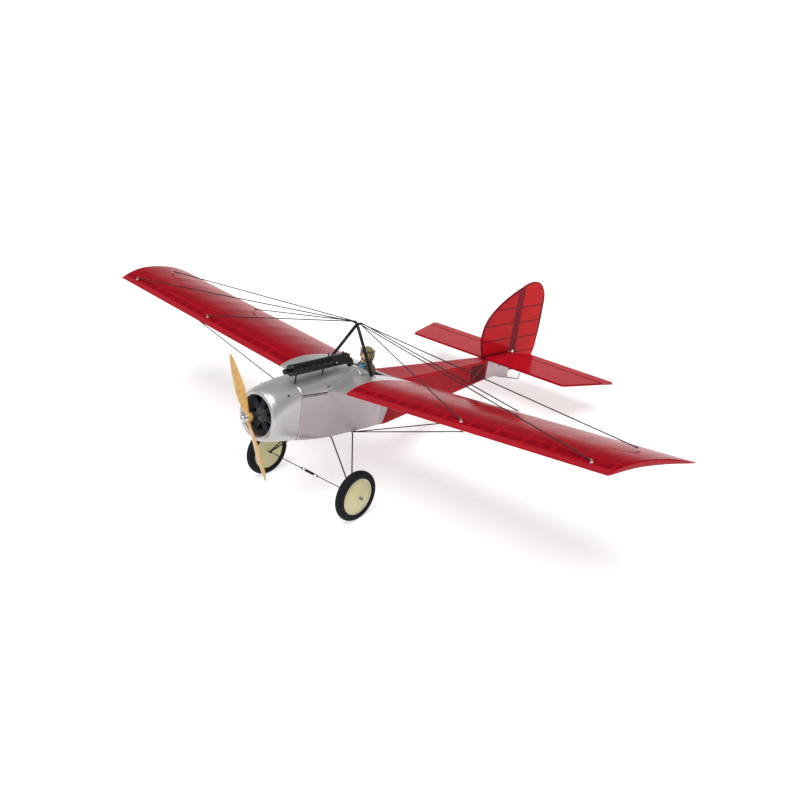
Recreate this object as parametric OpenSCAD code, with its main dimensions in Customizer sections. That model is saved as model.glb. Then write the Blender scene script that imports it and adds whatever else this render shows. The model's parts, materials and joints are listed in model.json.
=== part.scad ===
// High-wing monoplane flying model: electric nose, wire-braced wings, tail-dragger gear.
// Built in an airframe frame (origin: middle of the cowl's mouth, +X its left wing, +Y aft,
// +Z up), then stood on its wheels and tail skid by stance().

/* [Stance] */
// Nose-up angle of the airframe on the ground, degrees
pitch = 11.5; // [11.4:0.1:11.6]
// Height of the thrust line's cowl end above the ground
stance_z = 267.1; // [267.1:0.1:267.3]
// Shift that puts the model's middle over the origin
stance_y = -524.7; // [-526:0.1:-523]

/* [Wing] */
// Chord of the wing
chord = 250; // [240:1:255]
// Upward slope of each wing panel, degrees
dihedral = 5; // [4.6:0.1:5.4]
// Angle of the chord above the thrust line, degrees
incidence = 2.84; // [2.6:0.02:3]
// Length of one wing panel from the middle, along the panel
panel_len = 806; // [780:1:830]
// Height of the mean line above the chord, as a part of the chord
camber = 0.062; // [0.055:0.001:0.065]
// Thickness of the section, as a part of the chord
thick = 0.052; // [0.048:0.001:0.06]
// Where the silver root cover ends
root_cover_x = 107; // [95:1:120]

/* [Fuselage] */
// Half width of the nose
half_w = 55; // [54:0.5:56]
// Radius of the cowl's mouth
mouth_r = 45.7; // [43:0.1:47]
// Thickness of the moulded and sheeted skins
skin = 1.2; // [1:0.1:1.5]
// Thickness of the covering film
film = 0.4; // [0.3:0.05:0.5]

/* [Wheels and gear] */
// Radius of a tyre
tyre_r = 59.7; // [59:0.1:60]
// Half thickness of a tyre
tyre_half = 10.3; // [9:0.1:11]
// Radius of a hub disc
hub_r = 43.7; // [42:0.1:46]
// Half of the track, to the middle of a tyre
track_half = 149; // [149:0.5:151]
// Radius of the undercarriage wire
wire_r = 1.6; // [1.5:0.05:1.6]

/* [Propeller] */
// Length of the propeller
prop_len = 280; // [260:1:285]
// Angle of the propeller at rest, degrees from upright
prop_rest = 32; // [0:1:90]

/* [Tail] */
// Half span of the elevator
tail_half = 315; // [305:1:325]
// Thickness of the tail surfaces
tail_t = 6; // [5:0.5:6]
// Radius of the control arms and horns
arm_r = 12; // [11:0.5:13]

/* [Hidden] */
round_fn = 48;
gap = 0.4;            // clear space round a piece that lifts off
fit = 0.05;           // radial play of a pin in its hole

// Stations of the nose body along Y: half width, crown height, keel depth and how square
// the section is above and below the middle (2 is round).
nose_w = [[3, 56], [12, 58], [25, 58.5], [50, 57], [78, 55], [300, 55], [380, 50], [420, 47]];
nose_top = [[3, 56], [12, 59.5], [25, 61.5], [50, 64], [80, 66], [145, 73], [200, 79],
            [280, 80], [292, 75]];
nose_keel = [[3, 56], [12, 58.5], [25, 59.5], [50, 60], [78, 60], [120, 62.5], [190, 67],
             [380, 69.7], [420, 66.2]];
sq_top = [[3, 2], [12, 2.15], [25, 2.4], [50, 3], [78, 4], [157, 4.1], [190, 5.1], [232, 6.2],
          [292, 6]];
sq_keel = [[3, 2], [12, 2.15], [25, 2.4], [50, 3.2], [78, 5], [120, 12], [150, 20]];

wing_y = 157;         // leading edge
wing_z = 48.3;        // leading edge at the middle of the span
root_x = 50.3;        // inner face of the root ribs
rib_t = 2;
seam_y = 78.3;        // cowl to fuselage seam
wing_te_y = wing_y + chord * cos(incidence);
tail_y0 = 820;        // tail block
tail_y1 = 948;
rudder_axis_y = 959.5;
elev_axis_y = 955;
tail_z = 24;          // middle of the stabiliser
servo_y = 450;        // rudder servo shaft
elev_servo_y = 462;   // elevator servo shaft
rudder_arm_z = 0;
elev_arm_x = -16;
rod_r = 1;
pin_r = 0.75;
axle_y = 185;
axle_z = -173.6;
elbow_x = 138;
apex = [0, 283, 174];
cabane_foot = [71, 279, 66.5];   // inside the wing root, which trims the leg flush
cabane_r = 3.8;
cord_r = 0.6;
under_anchor = [49, 268, -70.5];
gun_x = 20;

module stance() translate([0, stance_y, stance_z]) rotate([-pitch, 0, 0]) children();
module sides() { children(); mirror([1, 0, 0]) children(); }

// ---- shared shapes -------------------------------------------------------------------
module rod(a, b, r, fn = 24) {
  v = b - a;
  translate(a) rotate([0, acos(v.z / norm(v)), atan2(v.y, v.x)])
    cylinder(h = norm(v), r = r, $fn = fn);
}
module bent_rod(pts, r) {
  for (i = [0 : len(pts) - 2]) rod(pts[i], pts[i + 1], r);
  for (i = [1 : len(pts) - 2]) translate(pts[i]) sphere(r = r * 1.1, $fn = 24);
}
module across_x() rotate([90, 0, 90]) children();      // 2D (y, z), extruded along +X
module slab_x(x0, x1) translate([x0, 0, 0]) across_x() linear_extrude(x1 - x0) children();

// Solid through rings of points; each ring is one closed section.
function strip(n, s, t) = [for (i = [0 : n - 1]) each let (j = (i + 1) % n)
  [[s * n + i, t * n + i, t * n + j], [s * n + i, t * n + j, s * n + j]]];
module loft(rings) {
  n = len(rings[0]);
  k = len(rings);
  faces = concat([[for (i = [0 : n - 1]) i]],
                 [for (s = [0 : k - 2]) each strip(n, s, s + 1)],
                 [[for (i = [n - 1 : -1 : 0]) (k - 1) * n + i]]);
  polyhedron(points = [for (r = rings) each r], faces = faces, convexity = 8);
}
module closed_loft(rings) {
  n = len(rings[0]);
  k = len(rings);
  polyhedron(points = [for (r = rings) each r],
             faces = [for (s = [0 : k - 1]) each strip(n, s, (s + 1) % k)], convexity = 8);
}
function pw(v, n) = sign(v) * pow(abs(v), 2 / n);
function oval(y, w, up, down, nu, nd, steps = 56) = [for (i = [0 : steps - 1])
  let (t = -360 * i / steps, n = sin(t) >= 0 ? nu : nd)
  [w * pw(cos(t), n), y, (sin(t) >= 0 ? up : down) * pw(sin(t), n)]];
function nose_ring(y, inset = 0) = oval(y, lookup(y, nose_w) - inset,
  lookup(y, nose_top) - inset, lookup(y, nose_keel) - inset, lookup(y, sq_top),
  lookup(y, sq_keel));
// Smooth curve through a list of points.
function bend(p, i, t) = let (n = len(p) - 1, a = p[max(i - 1, 0)], b = p[i],
  c = p[i + 1], d = p[min(i + 2, n)])
  0.5 * (2 * b + (c - a) * t + (2 * a - 5 * b + 4 * c - d) * t * t
         + (3 * b - a - 3 * c + d) * t * t * t);
function curve(p, steps = 4) = [for (i = [0 : len(p) - 2]) for (s = [0 : steps - 1])
  bend(p, i, s / steps), p[len(p) - 1]];

// ---- wing section --------------------------------------------------------------------
crest_at = 0.38;
function mean_line(c) = c < crest_at
  ? camber / pow(crest_at, 2) * (2 * crest_at * c - c * c)
  : camber / pow(1 - crest_at, 2) * (1 - 2 * crest_at + 2 * crest_at * c - c * c);
function half_thick(c) = 5 * thick * (0.2969 * sqrt(c) - 0.126 * c - 0.3516 * c * c
  + 0.2843 * pow(c, 3) - 0.1015 * pow(c, 4));
function spaced(i, n) = (1 - cos(180 * i / n)) / 2;
// Closed outline, inset by the skin's thickness; side is +1 for the upper surface.
function foil_z(c, side, inset = 0) =
  chord * mean_line(c) + side * max(chord * half_thick(c) - inset, 0.02);
function foil(inset = 0, n = 22) = let (
  a = inset > 0 ? (inset + 0.8) / chord : 0, b = inset > 0 ? 1 - 14 * inset / chord : 1,
  cs = [for (i = [0 : n]) a + (b - a) * spaced(i, n)])
  concat([for (c = cs) [c * chord, foil_z(c, 1, inset)]],
         [for (i = [n - 1 : -1 : 1]) [cs[i] * chord, foil_z(cs[i], -1, inset)]]);
module panel() translate([0, wing_y, wing_z]) rotate([-incidence, -dihedral, 0]) children();
module foil_slab(x0, x1, inset = 0) slab_x(x0, x1) polygon(foil(inset));
// Height of the wing's surface in the airframe frame.
function skin_z(c, side, x) = wing_z + x * tan(dihedral) - c * chord * sin(incidence)
  + foil_z(c, side) / cos(dihedral);
function skin_y(c, side) = wing_y + c * chord * cos(incidence) + foil_z(c, side) * sin(incidence);
// Plan of one panel: raked tip with a round trailing corner.
tip_lead = panel_len - 63;
tip_back_y = 213;
tip_corner_r = 25;
module plan(inset = 0) {
  x1 = panel_len - inset;
  polygon(concat([[0, -5], [tip_lead - inset, -5], [tip_lead - inset, 0],
                  [x1 - 3, tip_back_y - 12]],
    [for (a = [0 : 10 : 90]) [x1 - tip_corner_r + tip_corner_r * cos(a),
                              chord - inset - tip_corner_r + tip_corner_r * sin(a)]],
    [[0, chord - inset]]));
}
module tip_trim(inset = 0) intersection() {
  children();
  translate([0, 0, -20]) linear_extrude(80) plan(inset);
}

// ---- nose ----------------------------------------------------------------------------
module cowl() color("silver") stance() difference() {
  closed_loft(concat(
    [for (y = [78, 64, 50, 36, 25, 17, 12, 7]) nose_ring(y)],
    [for (p = [[3, 56], [1, 54], [0, 51], [0.8, 47.6], [3, mouth_r], [7, mouth_r + 1.2]])
      oval(p.x, p.y, p.y, p.y, 2, 2)],
    [for (y = [12, 17, 25, 36, 50, 64, 78]) nose_ring(y, y < 14 ? 7 : y < 20 ? 3.5 : skin)]));
  for (s = [-1, 1]) translate([s * 43.7, 47, 51.7]) rotate([0, s * 45, 0]) {
    cylinder(h = 20, r = 1.5, center = true, $fn = 16);
    translate([0, 0, 0.1]) cylinder(h = 4, r = 2.9, $fn = 20);
  }
}
module cowl_screws() color("dimgray") stance() for (s = [-1, 1])
  translate([s * 43.7, 47, 51.7]) rotate([0, s * 45, 0]) {
    translate([0, 0, -8]) cylinder(h = 8.2, r = 1.3, $fn = 20);
    translate([0, 0, 0.2]) cylinder(h = 1.2, r = 2.6, $fn = 20);
  }
module dummy_engine() color("#2b3038") stance() difference() {
  union() {
    translate([0, 24, 0]) rotate([90, 0, 0]) cylinder(h = 19, r = 17, center = true, $fn = 40);
    for (a = [0 : 360 / 7 : 359]) rotate([0, a, 0]) translate([0, 24, 10])
      rotate_extrude($fn = 24) polygon([[0, 0], [5.5, 0], [5.5, 12],
        for (h = [12 : 4 : 30]) each [[8.6, h], [8.6, h + 1.8], [6, h + 1.8], [6, h + 4]],
        [0, 34]]);
  }
  rotate([-90, 0, 0]) cylinder(h = 60, r = 5, $fn = 24);
}
module motor_stator() color("dimgray") stance() translate([0, 78, 0]) rotate([90, 0, 0]) {
  cylinder(h = 4, r = 22, $fn = 40);
  cylinder(h = 34, r = 11, $fn = 32);
}
module motor_bell() color("gray") stance() rotate([90, 0, 0]) difference() {
  union() {
    translate([0, 0, -71]) cylinder(h = 31, r = 18, $fn = 40);
    translate([0, 0, -43]) cylinder(h = 76, r = 3, $fn = 24);
  }
  translate([0, 0, -72]) cylinder(h = 30, r = 15.5, $fn = 40);
}
// Blade sections: radius, width, thickness and twist from the propeller's plane.
blade = [[0.05, 9, 8, 45], [0.2, 17, 5.5, 34], [0.34, 23, 4.2, 24], [0.5, 24.5, 3.4, 17],
         [0.68, 21, 2.8, 13], [0.85, 15, 2.2, 10.5], [0.96, 9, 1.5, 9.5], [1, 4, 1, 9.5]];
function blade_ring(b) = [for (i = [0 : 15]) let (t = -360 * i / 16, u = b[1] / 2 * cos(t),
  v = b[2] / 2 * sin(t) + b[2] * 0.3 * (1 - pow(cos(t), 2)))
  [u * cos(b[3]) + v * sin(b[3]), u * sin(b[3]) - v * cos(b[3]), b[0] * prop_len / 2]];
module propeller() color("burlywood") stance() translate([0, -22, 0]) rotate([0, -prop_rest, 0])
  difference() {
    union() {
      rotate([90, 0, 0]) cylinder(h = 12, r = 10.5, center = true, $fn = 40);
      for (a = [0, 180]) rotate([0, a, 0]) loft([for (b = blade) blade_ring(b)]);
    }
    rotate([90, 0, 0]) cylinder(h = 30, r = 3, center = true, $fn = 24);
  }
module prop_nut() color("lightgray") stance() rotate([90, 0, 0]) difference() {
  rotate_extrude($fn = 48) polygon([[0, 28], [9, 28], [9, 30.5], [6.5, 31.5], [6.5, 37],
    [5.2, 39.6], [3.2, 41.6], [1.4, 42.4], [0, 42.5]]);
  translate([0, 0, 20]) cylinder(h = 13, r = 3, $fn = 24);
  translate([0, 0, 34.8]) rotate([0, 90, 0]) cylinder(h = 30, r = 1.5, center = true, $fn = 24);
}
module battery() color("#20305a") stance() translate([-17, 100, -54]) cube([34, 105, 25]);
module speed_controller() color("#303030") stance() translate([-12, 96, 12]) cube([24, 50, 9]);
module receiver() color("#404048") stance() translate([-11, 306, -30]) cube([22, 42, 13]);

// ---- fuselage ------------------------------------------------------------------------
rear_w = 9.9;         // half width at rear_end
rear_end = 960;
module rear_plan(inset = 0) polygon([[-50 + inset, 300], [50 - inset, 300],
  [50 - inset, 380], [rear_w - inset, rear_end], [-rear_w + inset, rear_end],
  [-50 + inset, 380]]);
module rear_body(inset = 0) intersection() {
  translate([0, 0, -90]) linear_extrude(140) rear_plan(inset);
  slab_x(-60, 60) polygon([[300, -68.6 + inset], [380, -69.7 + inset], [960, -19 + inset],
                           [960, 17 - inset], [407, 35.5 - inset], [300, 39 - inset]]);
}
// Slanted edge where the silver finish meets the red film.
module silver_zone(shift = 0) slab_x(-70, 70) polygon([[0, -90], [351.2 + shift, -90],
  [401 + shift, 36], [407 + shift, 60], [407 + shift, 90], [0, 90]]);
// Side view of the nose under the hatch seam and the wing.
module under_wing() slab_x(-70, 70) polygon(concat([[seam_y, -90], [seam_y, 48.6],
  [148, 46.2], [wing_y, 46.2], [wing_y, skin_z(0, -1, 53.5) - 0.3]],
  [for (i = [1 : 15]) let (c = spaced(i, 15)) [skin_y(c, -1), skin_z(c, -1, 53.5) - 0.15]],
  [[wing_te_y + 0.2, 35.5], [420, 35], [420, -90]]));
module side_panels() color("#b9aeb4") stance() intersection() {
  difference() {
    loft([for (y = [78, 90, 105, 120, 150, 190, 300, 340, 380, 420]) nose_ring(y)]);
    loft([for (y = [77, 90, 105, 120, 150, 190, 300, 340, 380, 421]) nose_ring(y, skin)]);
  }
  under_wing();
  silver_zone();
}
module rear_covering() color("#b01020") stance() difference() {
  rear_body();
  rear_body(film);
  silver_zone(0.2);
  translate([-60, tail_y0, -90]) cube([120, 200, 140]);
  translate([-60, 300, 34]) cube([120, 111, 20]);
}
module former(y, t) intersection() {
  loft([for (s = [78, 90, 105, 120, 150, 190, 300, 380]) nose_ring(s, skin + 0.1)]);
  slab_x(-60, 60) polygon([[y, -80], [y + t, -80], [y + t, 45], [y, 45]]);
}
module fuselage_formers() color("#c9a878") stance() {
  difference() {
    former(79, 4);
    rotate([-90, 0, 0]) cylinder(h = 100, r = 8, $fn = 32);
  }
  for (y = [215, 290]) difference() {
    former(y, 3);
    translate([-36, y - 1, -52]) cube([72, 5, 80]);
  }
  translate([-32, 83.2, -57.5]) cube([64, 131.6, 3]);
  translate([-44, 293.5, 22]) cube([88, 106, 2.5]);
  translate([-30, 293.5, -33]) cube([60, 60, 2.5]);
  difference() {
    intersection() {
      rear_body(film + 0.1);
      slab_x(-60, 60) polygon([[402, -80], [405, -80], [405, 34.8], [402, 34.8]]);
    }
    translate([-30, 401, -48]) cube([60, 5, 68]);
  }
  difference() {
    translate([-24, 432, -9.7]) cube([48, 74, 2.5]);
    translate([-6.1, servo_y - 7.1, -11]) cube([12.2, 23.2, 5]);
  }
}
stick = 4;
bay_y = [408, 490, 572, 654, 736, 815];
function long_x(y) = rear_w + (rear_end - y) * (50 - rear_w) / 580 - film - stick / 2 - 0.3;
function top_z(y) = 17 + (rear_end - y) * 0.03345 - film - stick / 2 - 0.3;
function keel_z(y) = -19 - (rear_end - y) * 0.0874 + film + stick / 2 + 0.3;
module tail_truss() color("#d9bd8a") stance() {
  for (s = [-1, 1]) {
    for (z = [[top_z(408), top_z(815)], [keel_z(408), keel_z(815)]])
      rod([s * long_x(408), 408, z[0]], [s * long_x(815), 815, z[1]], stick / 2);
    for (y = bay_y) rod([s * long_x(y), y, keel_z(y)], [s * long_x(y), y, top_z(y)], 1.5);
    for (i = [0 : len(bay_y) - 2]) let (a = bay_y[i], b = bay_y[i + 1])
      rod([s * long_x(a), a, keel_z(a)], [s * long_x(b), b, top_z(b)], 1.2);
  }
  for (y = bay_y) for (z = [top_z(y), keel_z(y)])
    rod([-long_x(y), y, z], [long_x(y), y, z], 1.5);
}
// The crowned deck: forward hatch, then the coaming and rear strip round the cockpit.
module crown(y0, y1, inset) {
  ys = [for (y = [70, 80, 112, 145, 157, 190, 210, 232, 280, 292, 300]) if (y >= y0 && y <= y1) y];
  loft([for (y = ys) nose_ring(y, inset)]);
}
module wing_block(grow) for (s = [0, 1]) mirror([s, 0, 0]) panel()
  slab_x(root_x - grow, 130) polygon(concat([for (p = foil()) if (p.y >= 0) p + [0, grow]],
    [[chord, -60], [-grow, -60], [-grow, 0]]));
hatch_y1 = 262;
module hatch_deck() color("#b4b0ae") stance() difference() {
  intersection() {
    difference() {
      crown(70, 300, 0);
      crown(0, 300, skin + 0.3);
    }
    slab_x(-60, 60) polygon([[seam_y + gap, 49], [148, 46.2 + gap], [wing_y + gap, 46.2 + gap],
      [wing_y + gap, 52], [190, 62], [232, 68.3], [hatch_y1, 67.8], [hatch_y1, 95],
      [seam_y + gap, 95]]);
  }
  wing_block(gap);
  for (p = gun_posts) translate([gun_x, p.x, 40]) cylinder(h = 60, r = 2, $fn = 20);
}
module cockpit_deck() color("#b4b0ae") stance() {
  difference() {
    intersection() {
      difference() {
        crown(70, 300, 0);
        crown(0, 300, skin + 0.3);
      }
      slab_x(-49.8, 49.8) polygon([[hatch_y1 + gap, 58], [292, 58], [292, 95], [hatch_y1 + gap, 95]]);
    }
    translate([0, 322, 60]) cylinder(h = 40, r = 36, $fn = round_fn);
    wing_block(gap);
  }
  difference() {
    slab_x(-45, 45) polygon([[400, 36], [411, 35.4], [411, 36.6], [400, 37.6]]);
    translate([0, 322, 30]) cylinder(h = 40, r = 79, $fn = round_fn);
  }
}

// ---- pilot, bracing mast and gun --------------------------------------------------------
module turned(pts) rotate_extrude($fn = 40) polygon(pts);
module pilot_torso() color("#5b4630") stance() translate([0, 338, 0]) {
  hull() {
    translate([0, 0, 25]) cylinder(h = 2, r = 15, $fn = 24);
    for (s = [-1, 1]) translate([s * 14, 0, 60]) sphere(r = 10, $fn = 24);
    translate([0, 0, 67]) cylinder(h = 4, r = 9, $fn = 24);
  }
  translate([0, -4, 71]) turned([for (a = [0 : 30 : 359]) [11.2 + 3.8 * cos(a), 4 * sin(a)]]);
}
module pilot_head() color("#e2b48e") stance() translate([0, 334, 93])
  turned([[0, -20], [6.6, -19.5], [7.4, -14], [10.5, -11], [13, -5], [13.9, 2], [13, 8],
          [9.5, 13.4], [5, 15.6], [0, 16.2]]);
module pilot_helmet() color("#6f6136") stance() difference() {
  translate([0, 335, 94]) turned([[0, -12], [12, -12], [15.2, -6], [16, 2], [14.6, 9],
                                  [10.6, 14.6], [5.6, 17.4], [0, 18.2]]);
  translate([0, 334, 93]) turned([[0, -20], [7, -20], [10.8, -11], [13.3, -5], [14.2, 2], [13.3, 8.2],
                                  [9.7, 13.7], [5, 15.9], [0, 16.5]]);
  translate([-9, 300, 78]) cube([18, 26, 22]);
}
module cabane_legs() color("#202020") stance() difference() {
  sides() rod(cabane_foot, apex - [-2.5, 0, 3], cabane_r);
  wing_block(fit);
}
module cabane_plate() color("#181818") stance() translate(apex) difference() {
  hull() for (x = [-7, 7]) translate([x, 0, 2]) cylinder(h = 2, r = 5, $fn = 32);
  for (x = [-7, 7]) translate([x, 0, 0]) cylinder(h = 8, r = 1.2, $fn = 20);
}
gun_tilt = -2.2;
jacket_r = 13;
gun_posts = [[86, 62], [167, 69]];   // place and lower end of each post
module gun_line() translate([gun_x, 66, 98]) rotate([-90 - gun_tilt, 0, 0]) children();
module gun_jacket() color("#101010") stance() gun_line() {
  difference() {
    cylinder(h = 119, r = jacket_r, $fn = round_fn);
    translate([0, 0, 2]) cylinder(h = 115, r = jacket_r - 1.3, $fn = round_fn);
    for (h = [15 : 22 : 103]) for (a = [45 : 90 : 359]) rotate([0, 0, a]) translate([9, 0, h])
      rotate([0, 90, 0]) cylinder(h = 6, r = 3, $fn = 20);
  }
  translate([0, 0, -16]) cylinder(h = 133.2, r = 4, $fn = 24);
  translate([0, 0, -17]) cylinder(h = 7, r = 6, $fn = 24);
}
module gun_receiver() color("#141414") stance() {
  gun_line() {
    translate([-7.5, -12, 119.2]) cube([15, 23, 58]);
    translate([-2, -22.5, 112]) cube([4, 9.1, 4]);
    translate([-2, -19, 158]) cube([4, 8, 4]);
    translate([7.5, -3, 124]) cube([9, 4, 4]);
  }
  slab_x(gun_x - 5, gun_x + 5) polygon(concat(
    curve([[238, 109], [250, 106], [258, 98], [262, 88]], 3),
    curve([[250, 83], [246, 91], [242, 95], [237, 96]], 3)));
  difference() {
    for (p = gun_posts) translate([gun_x, p.x, p.y]) {
      cylinder(h = 98 - p.y, r = 1.8, $fn = 20);
      translate([0, 0, 84 - p.y]) cylinder(h = 14, r = 3, $fn = 20);
    }
    gun_line() cylinder(h = 119.1, r = jacket_r + 0.02, $fn = round_fn);
  }
}

// ---- wings -----------------------------------------------------------------------------
spar_c = 0.3;
spar_half = 1.6;
function rib_x(i) = i == 0 ? root_x : i == 1 ? root_cover_x - rib_t : 107 + (i - 1) * 63.5;
rib_n = 11;
joiner_c = [0.34, 0.62];   // where the two joining tubes cross the chord
function mid_z(c) = chord * mean_line(c);
module spar_solids(play = 0) {
  low = foil_z(spar_c, -1, film + 0.2);
  high = foil_z(spar_c, 1, film + 0.2);
  slab_x(root_x, tip_lead + 14) translate([spar_c * chord - spar_half - play, low - play])
    square([2 * (spar_half + play), high - low + 2 * play]);
}
module edge_zone(lead) slab_x(0, panel_len) polygon(lead
  ? [[0, -20], [9, -20], [9, 40], [0, 40]]
  : [[chord - 26, -20], [chord, -20], [chord, 40], [chord - 26, 40]]);
module wing_ribs() panel() tip_trim(1.2) difference() {
  union() {
    for (i = [0 : rib_n]) foil_slab(rib_x(i), rib_x(i) + rib_t, film + 0.1);
    foil_slab(tip_lead - 2, tip_lead, film + 0.1);
  }
  edge_zone(true);
  edge_zone(false);
  spar_solids(0.05);
  for (c = joiner_c) translate([0, c * chord, mid_z(c)]) rotate([0, 90, 0])
    cylinder(h = 200, r = 4.1, $fn = 32);
  for (c = [0.14, 0.5]) translate([root_cover_x + 3, c * chord, mid_z(c)]) rotate([0, 90, 0])
    cylinder(h = 800, r = 3.2, $fn = 24);
}
module wing_spars() panel() {
  spar_solids();
  tip_trim(1.2) {
    intersection() { foil_slab(root_x, panel_len, film + 0.1); edge_zone(true); }
    intersection() { foil_slab(root_x, panel_len, film + 0.1); edge_zone(false); }
  }
}
module wing_skin(x0, x1) panel() difference() {
  tip_trim() foil_slab(x0, x1);
  tip_trim(film) foil_slab(x0 - 1, x1 + 1, film);
}
module wing_left_ribs() color("#d9bd8a") stance() wing_ribs();
module wing_right_ribs() color("#d9bd8a") stance() mirror([1, 0, 0]) wing_ribs();
module wing_left_spars() color("#cfae78") stance() wing_spars();
module wing_right_spars() color("#cfae78") stance() mirror([1, 0, 0]) wing_spars();
module wing_left_covering() color("#c01828") stance() wing_skin(root_cover_x, panel_len + 2);
module wing_right_covering() color("#c01828") stance() mirror([1, 0, 0])
  wing_skin(root_cover_x, panel_len + 2);
module wing_root_left() color("#c4c0be") stance() wing_skin(root_x, root_cover_x);
module wing_root_right() color("#c4c0be") stance() mirror([1, 0, 0]) wing_skin(root_x, root_cover_x);
module wing_joiner() color("#303030") stance() for (c = joiner_c) {
  sides() panel() translate([0, c * chord, mid_z(c)]) rotate([0, 90, 0])
    cylinder(h = 168, r = 4, $fn = 32);
  panel() translate([0, c * chord, mid_z(c)]) sphere(r = 4, $fn = 32);
}

// ---- rigging ---------------------------------------------------------------------------
// Places on a panel: distance along it and part of the chord.
upper_hooks = [[699, 0.07], [725, 0.59], [403, 0.08], [426, 0.76]];
under_hooks = [[417, 0.04], [408, 0.85]];
cord_order = [0, 2, 1, 3];
eye_lift = 4.6;       // eye of a hook above the skin
function slope(c, side) = atan((foil_z(c + 0.01, side) - foil_z(c - 0.01, side)) / (0.02 * chord));
function eye(h, side) = let (x = h.x,
  y = h.y * chord - side * eye_lift * sin(slope(h.y, side)),
  z = foil_z(h.y, side) + side * eye_lift * cos(slope(h.y, side)),
  y1 = y * cos(incidence) + z * sin(incidence), z1 = z * cos(incidence) - y * sin(incidence))
  [x * cos(dihedral) - z1 * sin(dihedral), wing_y + y1,
   wing_z + x * sin(dihedral) + z1 * cos(dihedral)];
module hook(h, side) panel() translate([h.x, h.y * chord, foil_z(h.y, side)])
  rotate([slope(h.y, side), 0, 0]) scale([1, 1, side]) {
    translate([0, 0, fit]) cylinder(h = 1, r = 5, $fn = 24);
    difference() {
      translate([-0.8, -3.5, fit]) cube([1.6, 7, 7.6]);
      translate([0, 0, eye_lift]) rotate([0, 90, 0]) cylinder(h = 4, r = 1.4, center = true, $fn = 20);
    }
  }
module rigging_hooks() color("#e8d8d8") stance() sides() {
  for (h = upper_hooks) hook(h, 1);
  for (h = under_hooks) hook(h, -1);
  translate(under_anchor + [-4, 0, 0]) cube([8, 5, 3], center = true);
}
module rigging() {
  for (i = [0 : 3]) rod(apex + [9, cord_order[i] * 3 - 4.5, 5], eye(upper_hooks[i], 1), cord_r, 16);
  for (i = [0, 1]) rod(under_anchor + [1, 3 * i - 1.5, 0], eye(under_hooks[i], -1), cord_r, 16);
}
module rigging_left() color("#303030") stance() rigging();
module rigging_right() color("#303030") stance() mirror([1, 0, 0]) rigging();

// ---- undercarriage ------------------------------------------------------------------------
leg_y = [190, 260];
function belly_z(y) = -lookup(y, nose_keel) - 1.7;
module gear_wire() {
  bent_rod([[12, leg_y[0], belly_z(leg_y[0])], [50, leg_y[0], belly_z(leg_y[0])],
            [elbow_x, axle_y, axle_z], [171, axle_y, axle_z]], wire_r);
  bent_rod([[12, leg_y[1], belly_z(leg_y[1])], [50, leg_y[1], belly_z(leg_y[1])],
            [elbow_x - 1, axle_y, axle_z]], wire_r);
}
module gear_wire_left() color("#404040") stance() gear_wire();
module gear_wire_right() color("#404040") stance() mirror([1, 0, 0]) gear_wire();
module gear_saddles() color("#808080") stance() sides() for (y = leg_y)
  translate([30, y, belly_z(y)]) difference() {
    translate([-5, -5, -3]) cube([10, 10, 4.6]);
    rotate([0, 90, 0]) cylinder(h = 20, r = wire_r + 0.02, center = true, $fn = 24);
    translate([-6, -wire_r - 0.02, 0]) cube([12, 2 * wire_r + 0.04, 4]);
  }
spring_x = 21;        // half length of the spreader spring
module spreader_wires() color("#404040") stance() sides()
  rod([spring_x, axle_y, axle_z], [elbow_x - 4, axle_y, axle_z], 0.7);
module spreader_spring() color("#303030") stance() translate([0, axle_y, axle_z])
  rotate([0, 90, 0]) cylinder(h = 2 * spring_x - 0.2, r = 3.2, center = true, $fn = 24);
module axle_collars() color("#b0b0b0") stance() sides()
  translate([165.2, axle_y, axle_z]) rotate([0, 90, 0]) difference() {
    cylinder(h = 5, r = 3.6, $fn = 24);
    translate([0, 0, -1]) cylinder(h = 8, r = wire_r, $fn = 24);
  }
module at_wheel(s) stance() translate([s * track_half, axle_y, axle_z]) rotate([0, s * 90, 0])
  children();
module tyre(s) at_wheel(s) rotate_extrude($fn = 72) polygon(concat(
  [[hub_r, -7.5], [hub_r + 4, -8.6]],
  [for (a = [-70 : 20 : 70]) [tyre_r - 8 + 8 * cos(a), tyre_half * sin(a) / sin(70)]],
  [[hub_r + 4, 8.6], [hub_r, 7.5]]));
module hub(s) at_wheel(s) difference() {
  rotate_extrude($fn = 72) polygon([[0, -6.5], [30, -7], [hub_r, -7], [hub_r, 7.2],
    [hub_r - 2.5, 8], [hub_r - 4, 7], [34, 9.5], [20, 12.5], [8, 14.4], [0, 14.8]]);
  cylinder(h = 60, r = wire_r + fit, center = true, $fn = 32);
}
module tyre_left() color("#181818") tyre(1);
module tyre_right() color("#181818") tyre(-1);
module hub_left() color("#dcd6a8") hub(1);
module hub_right() color("#dcd6a8") hub(-1);

// ---- tail ------------------------------------------------------------------------------
module tail_block() color("#b9aeb4") stance() difference() {
  intersection() {
    translate([0, 0, -60]) linear_extrude(100) polygon([[-19.6, tail_y0], [19.6, tail_y0],
      [8, tail_y1], [-8, tail_y1]]);
    slab_x(-30, 30) polygon([[tail_y0, -31.3], [866, -30], [925, -41], [tail_y1, -47.6],
                             [tail_y1, 20.8], [tail_y0, 20.8]]);
  }
  translate([9.4, 810, -5.2]) cube([5.2, 150, 6]);
  translate([-16.2, 810, 8.6]) cube([5.2, 150, 7]);
}
module tail_skid() color("#505050") stance()
  bent_rod([[0, 900, -38.6], [0, 1020, -64], [0, 1027, -48]], 1.25);
module plate_x(t, x = 0) translate([x - t / 2, 0, 0]) across_x() linear_extrude(t) children();
fin_edge = [[823, 21.9], [813, 33], [802, 57], [796.5, 80], [798.5, 102], [807, 124],
            [823.5, 145], [850, 165.3], [884, 185.2], [928, 204.7], [957.5, 215.5]];
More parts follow.
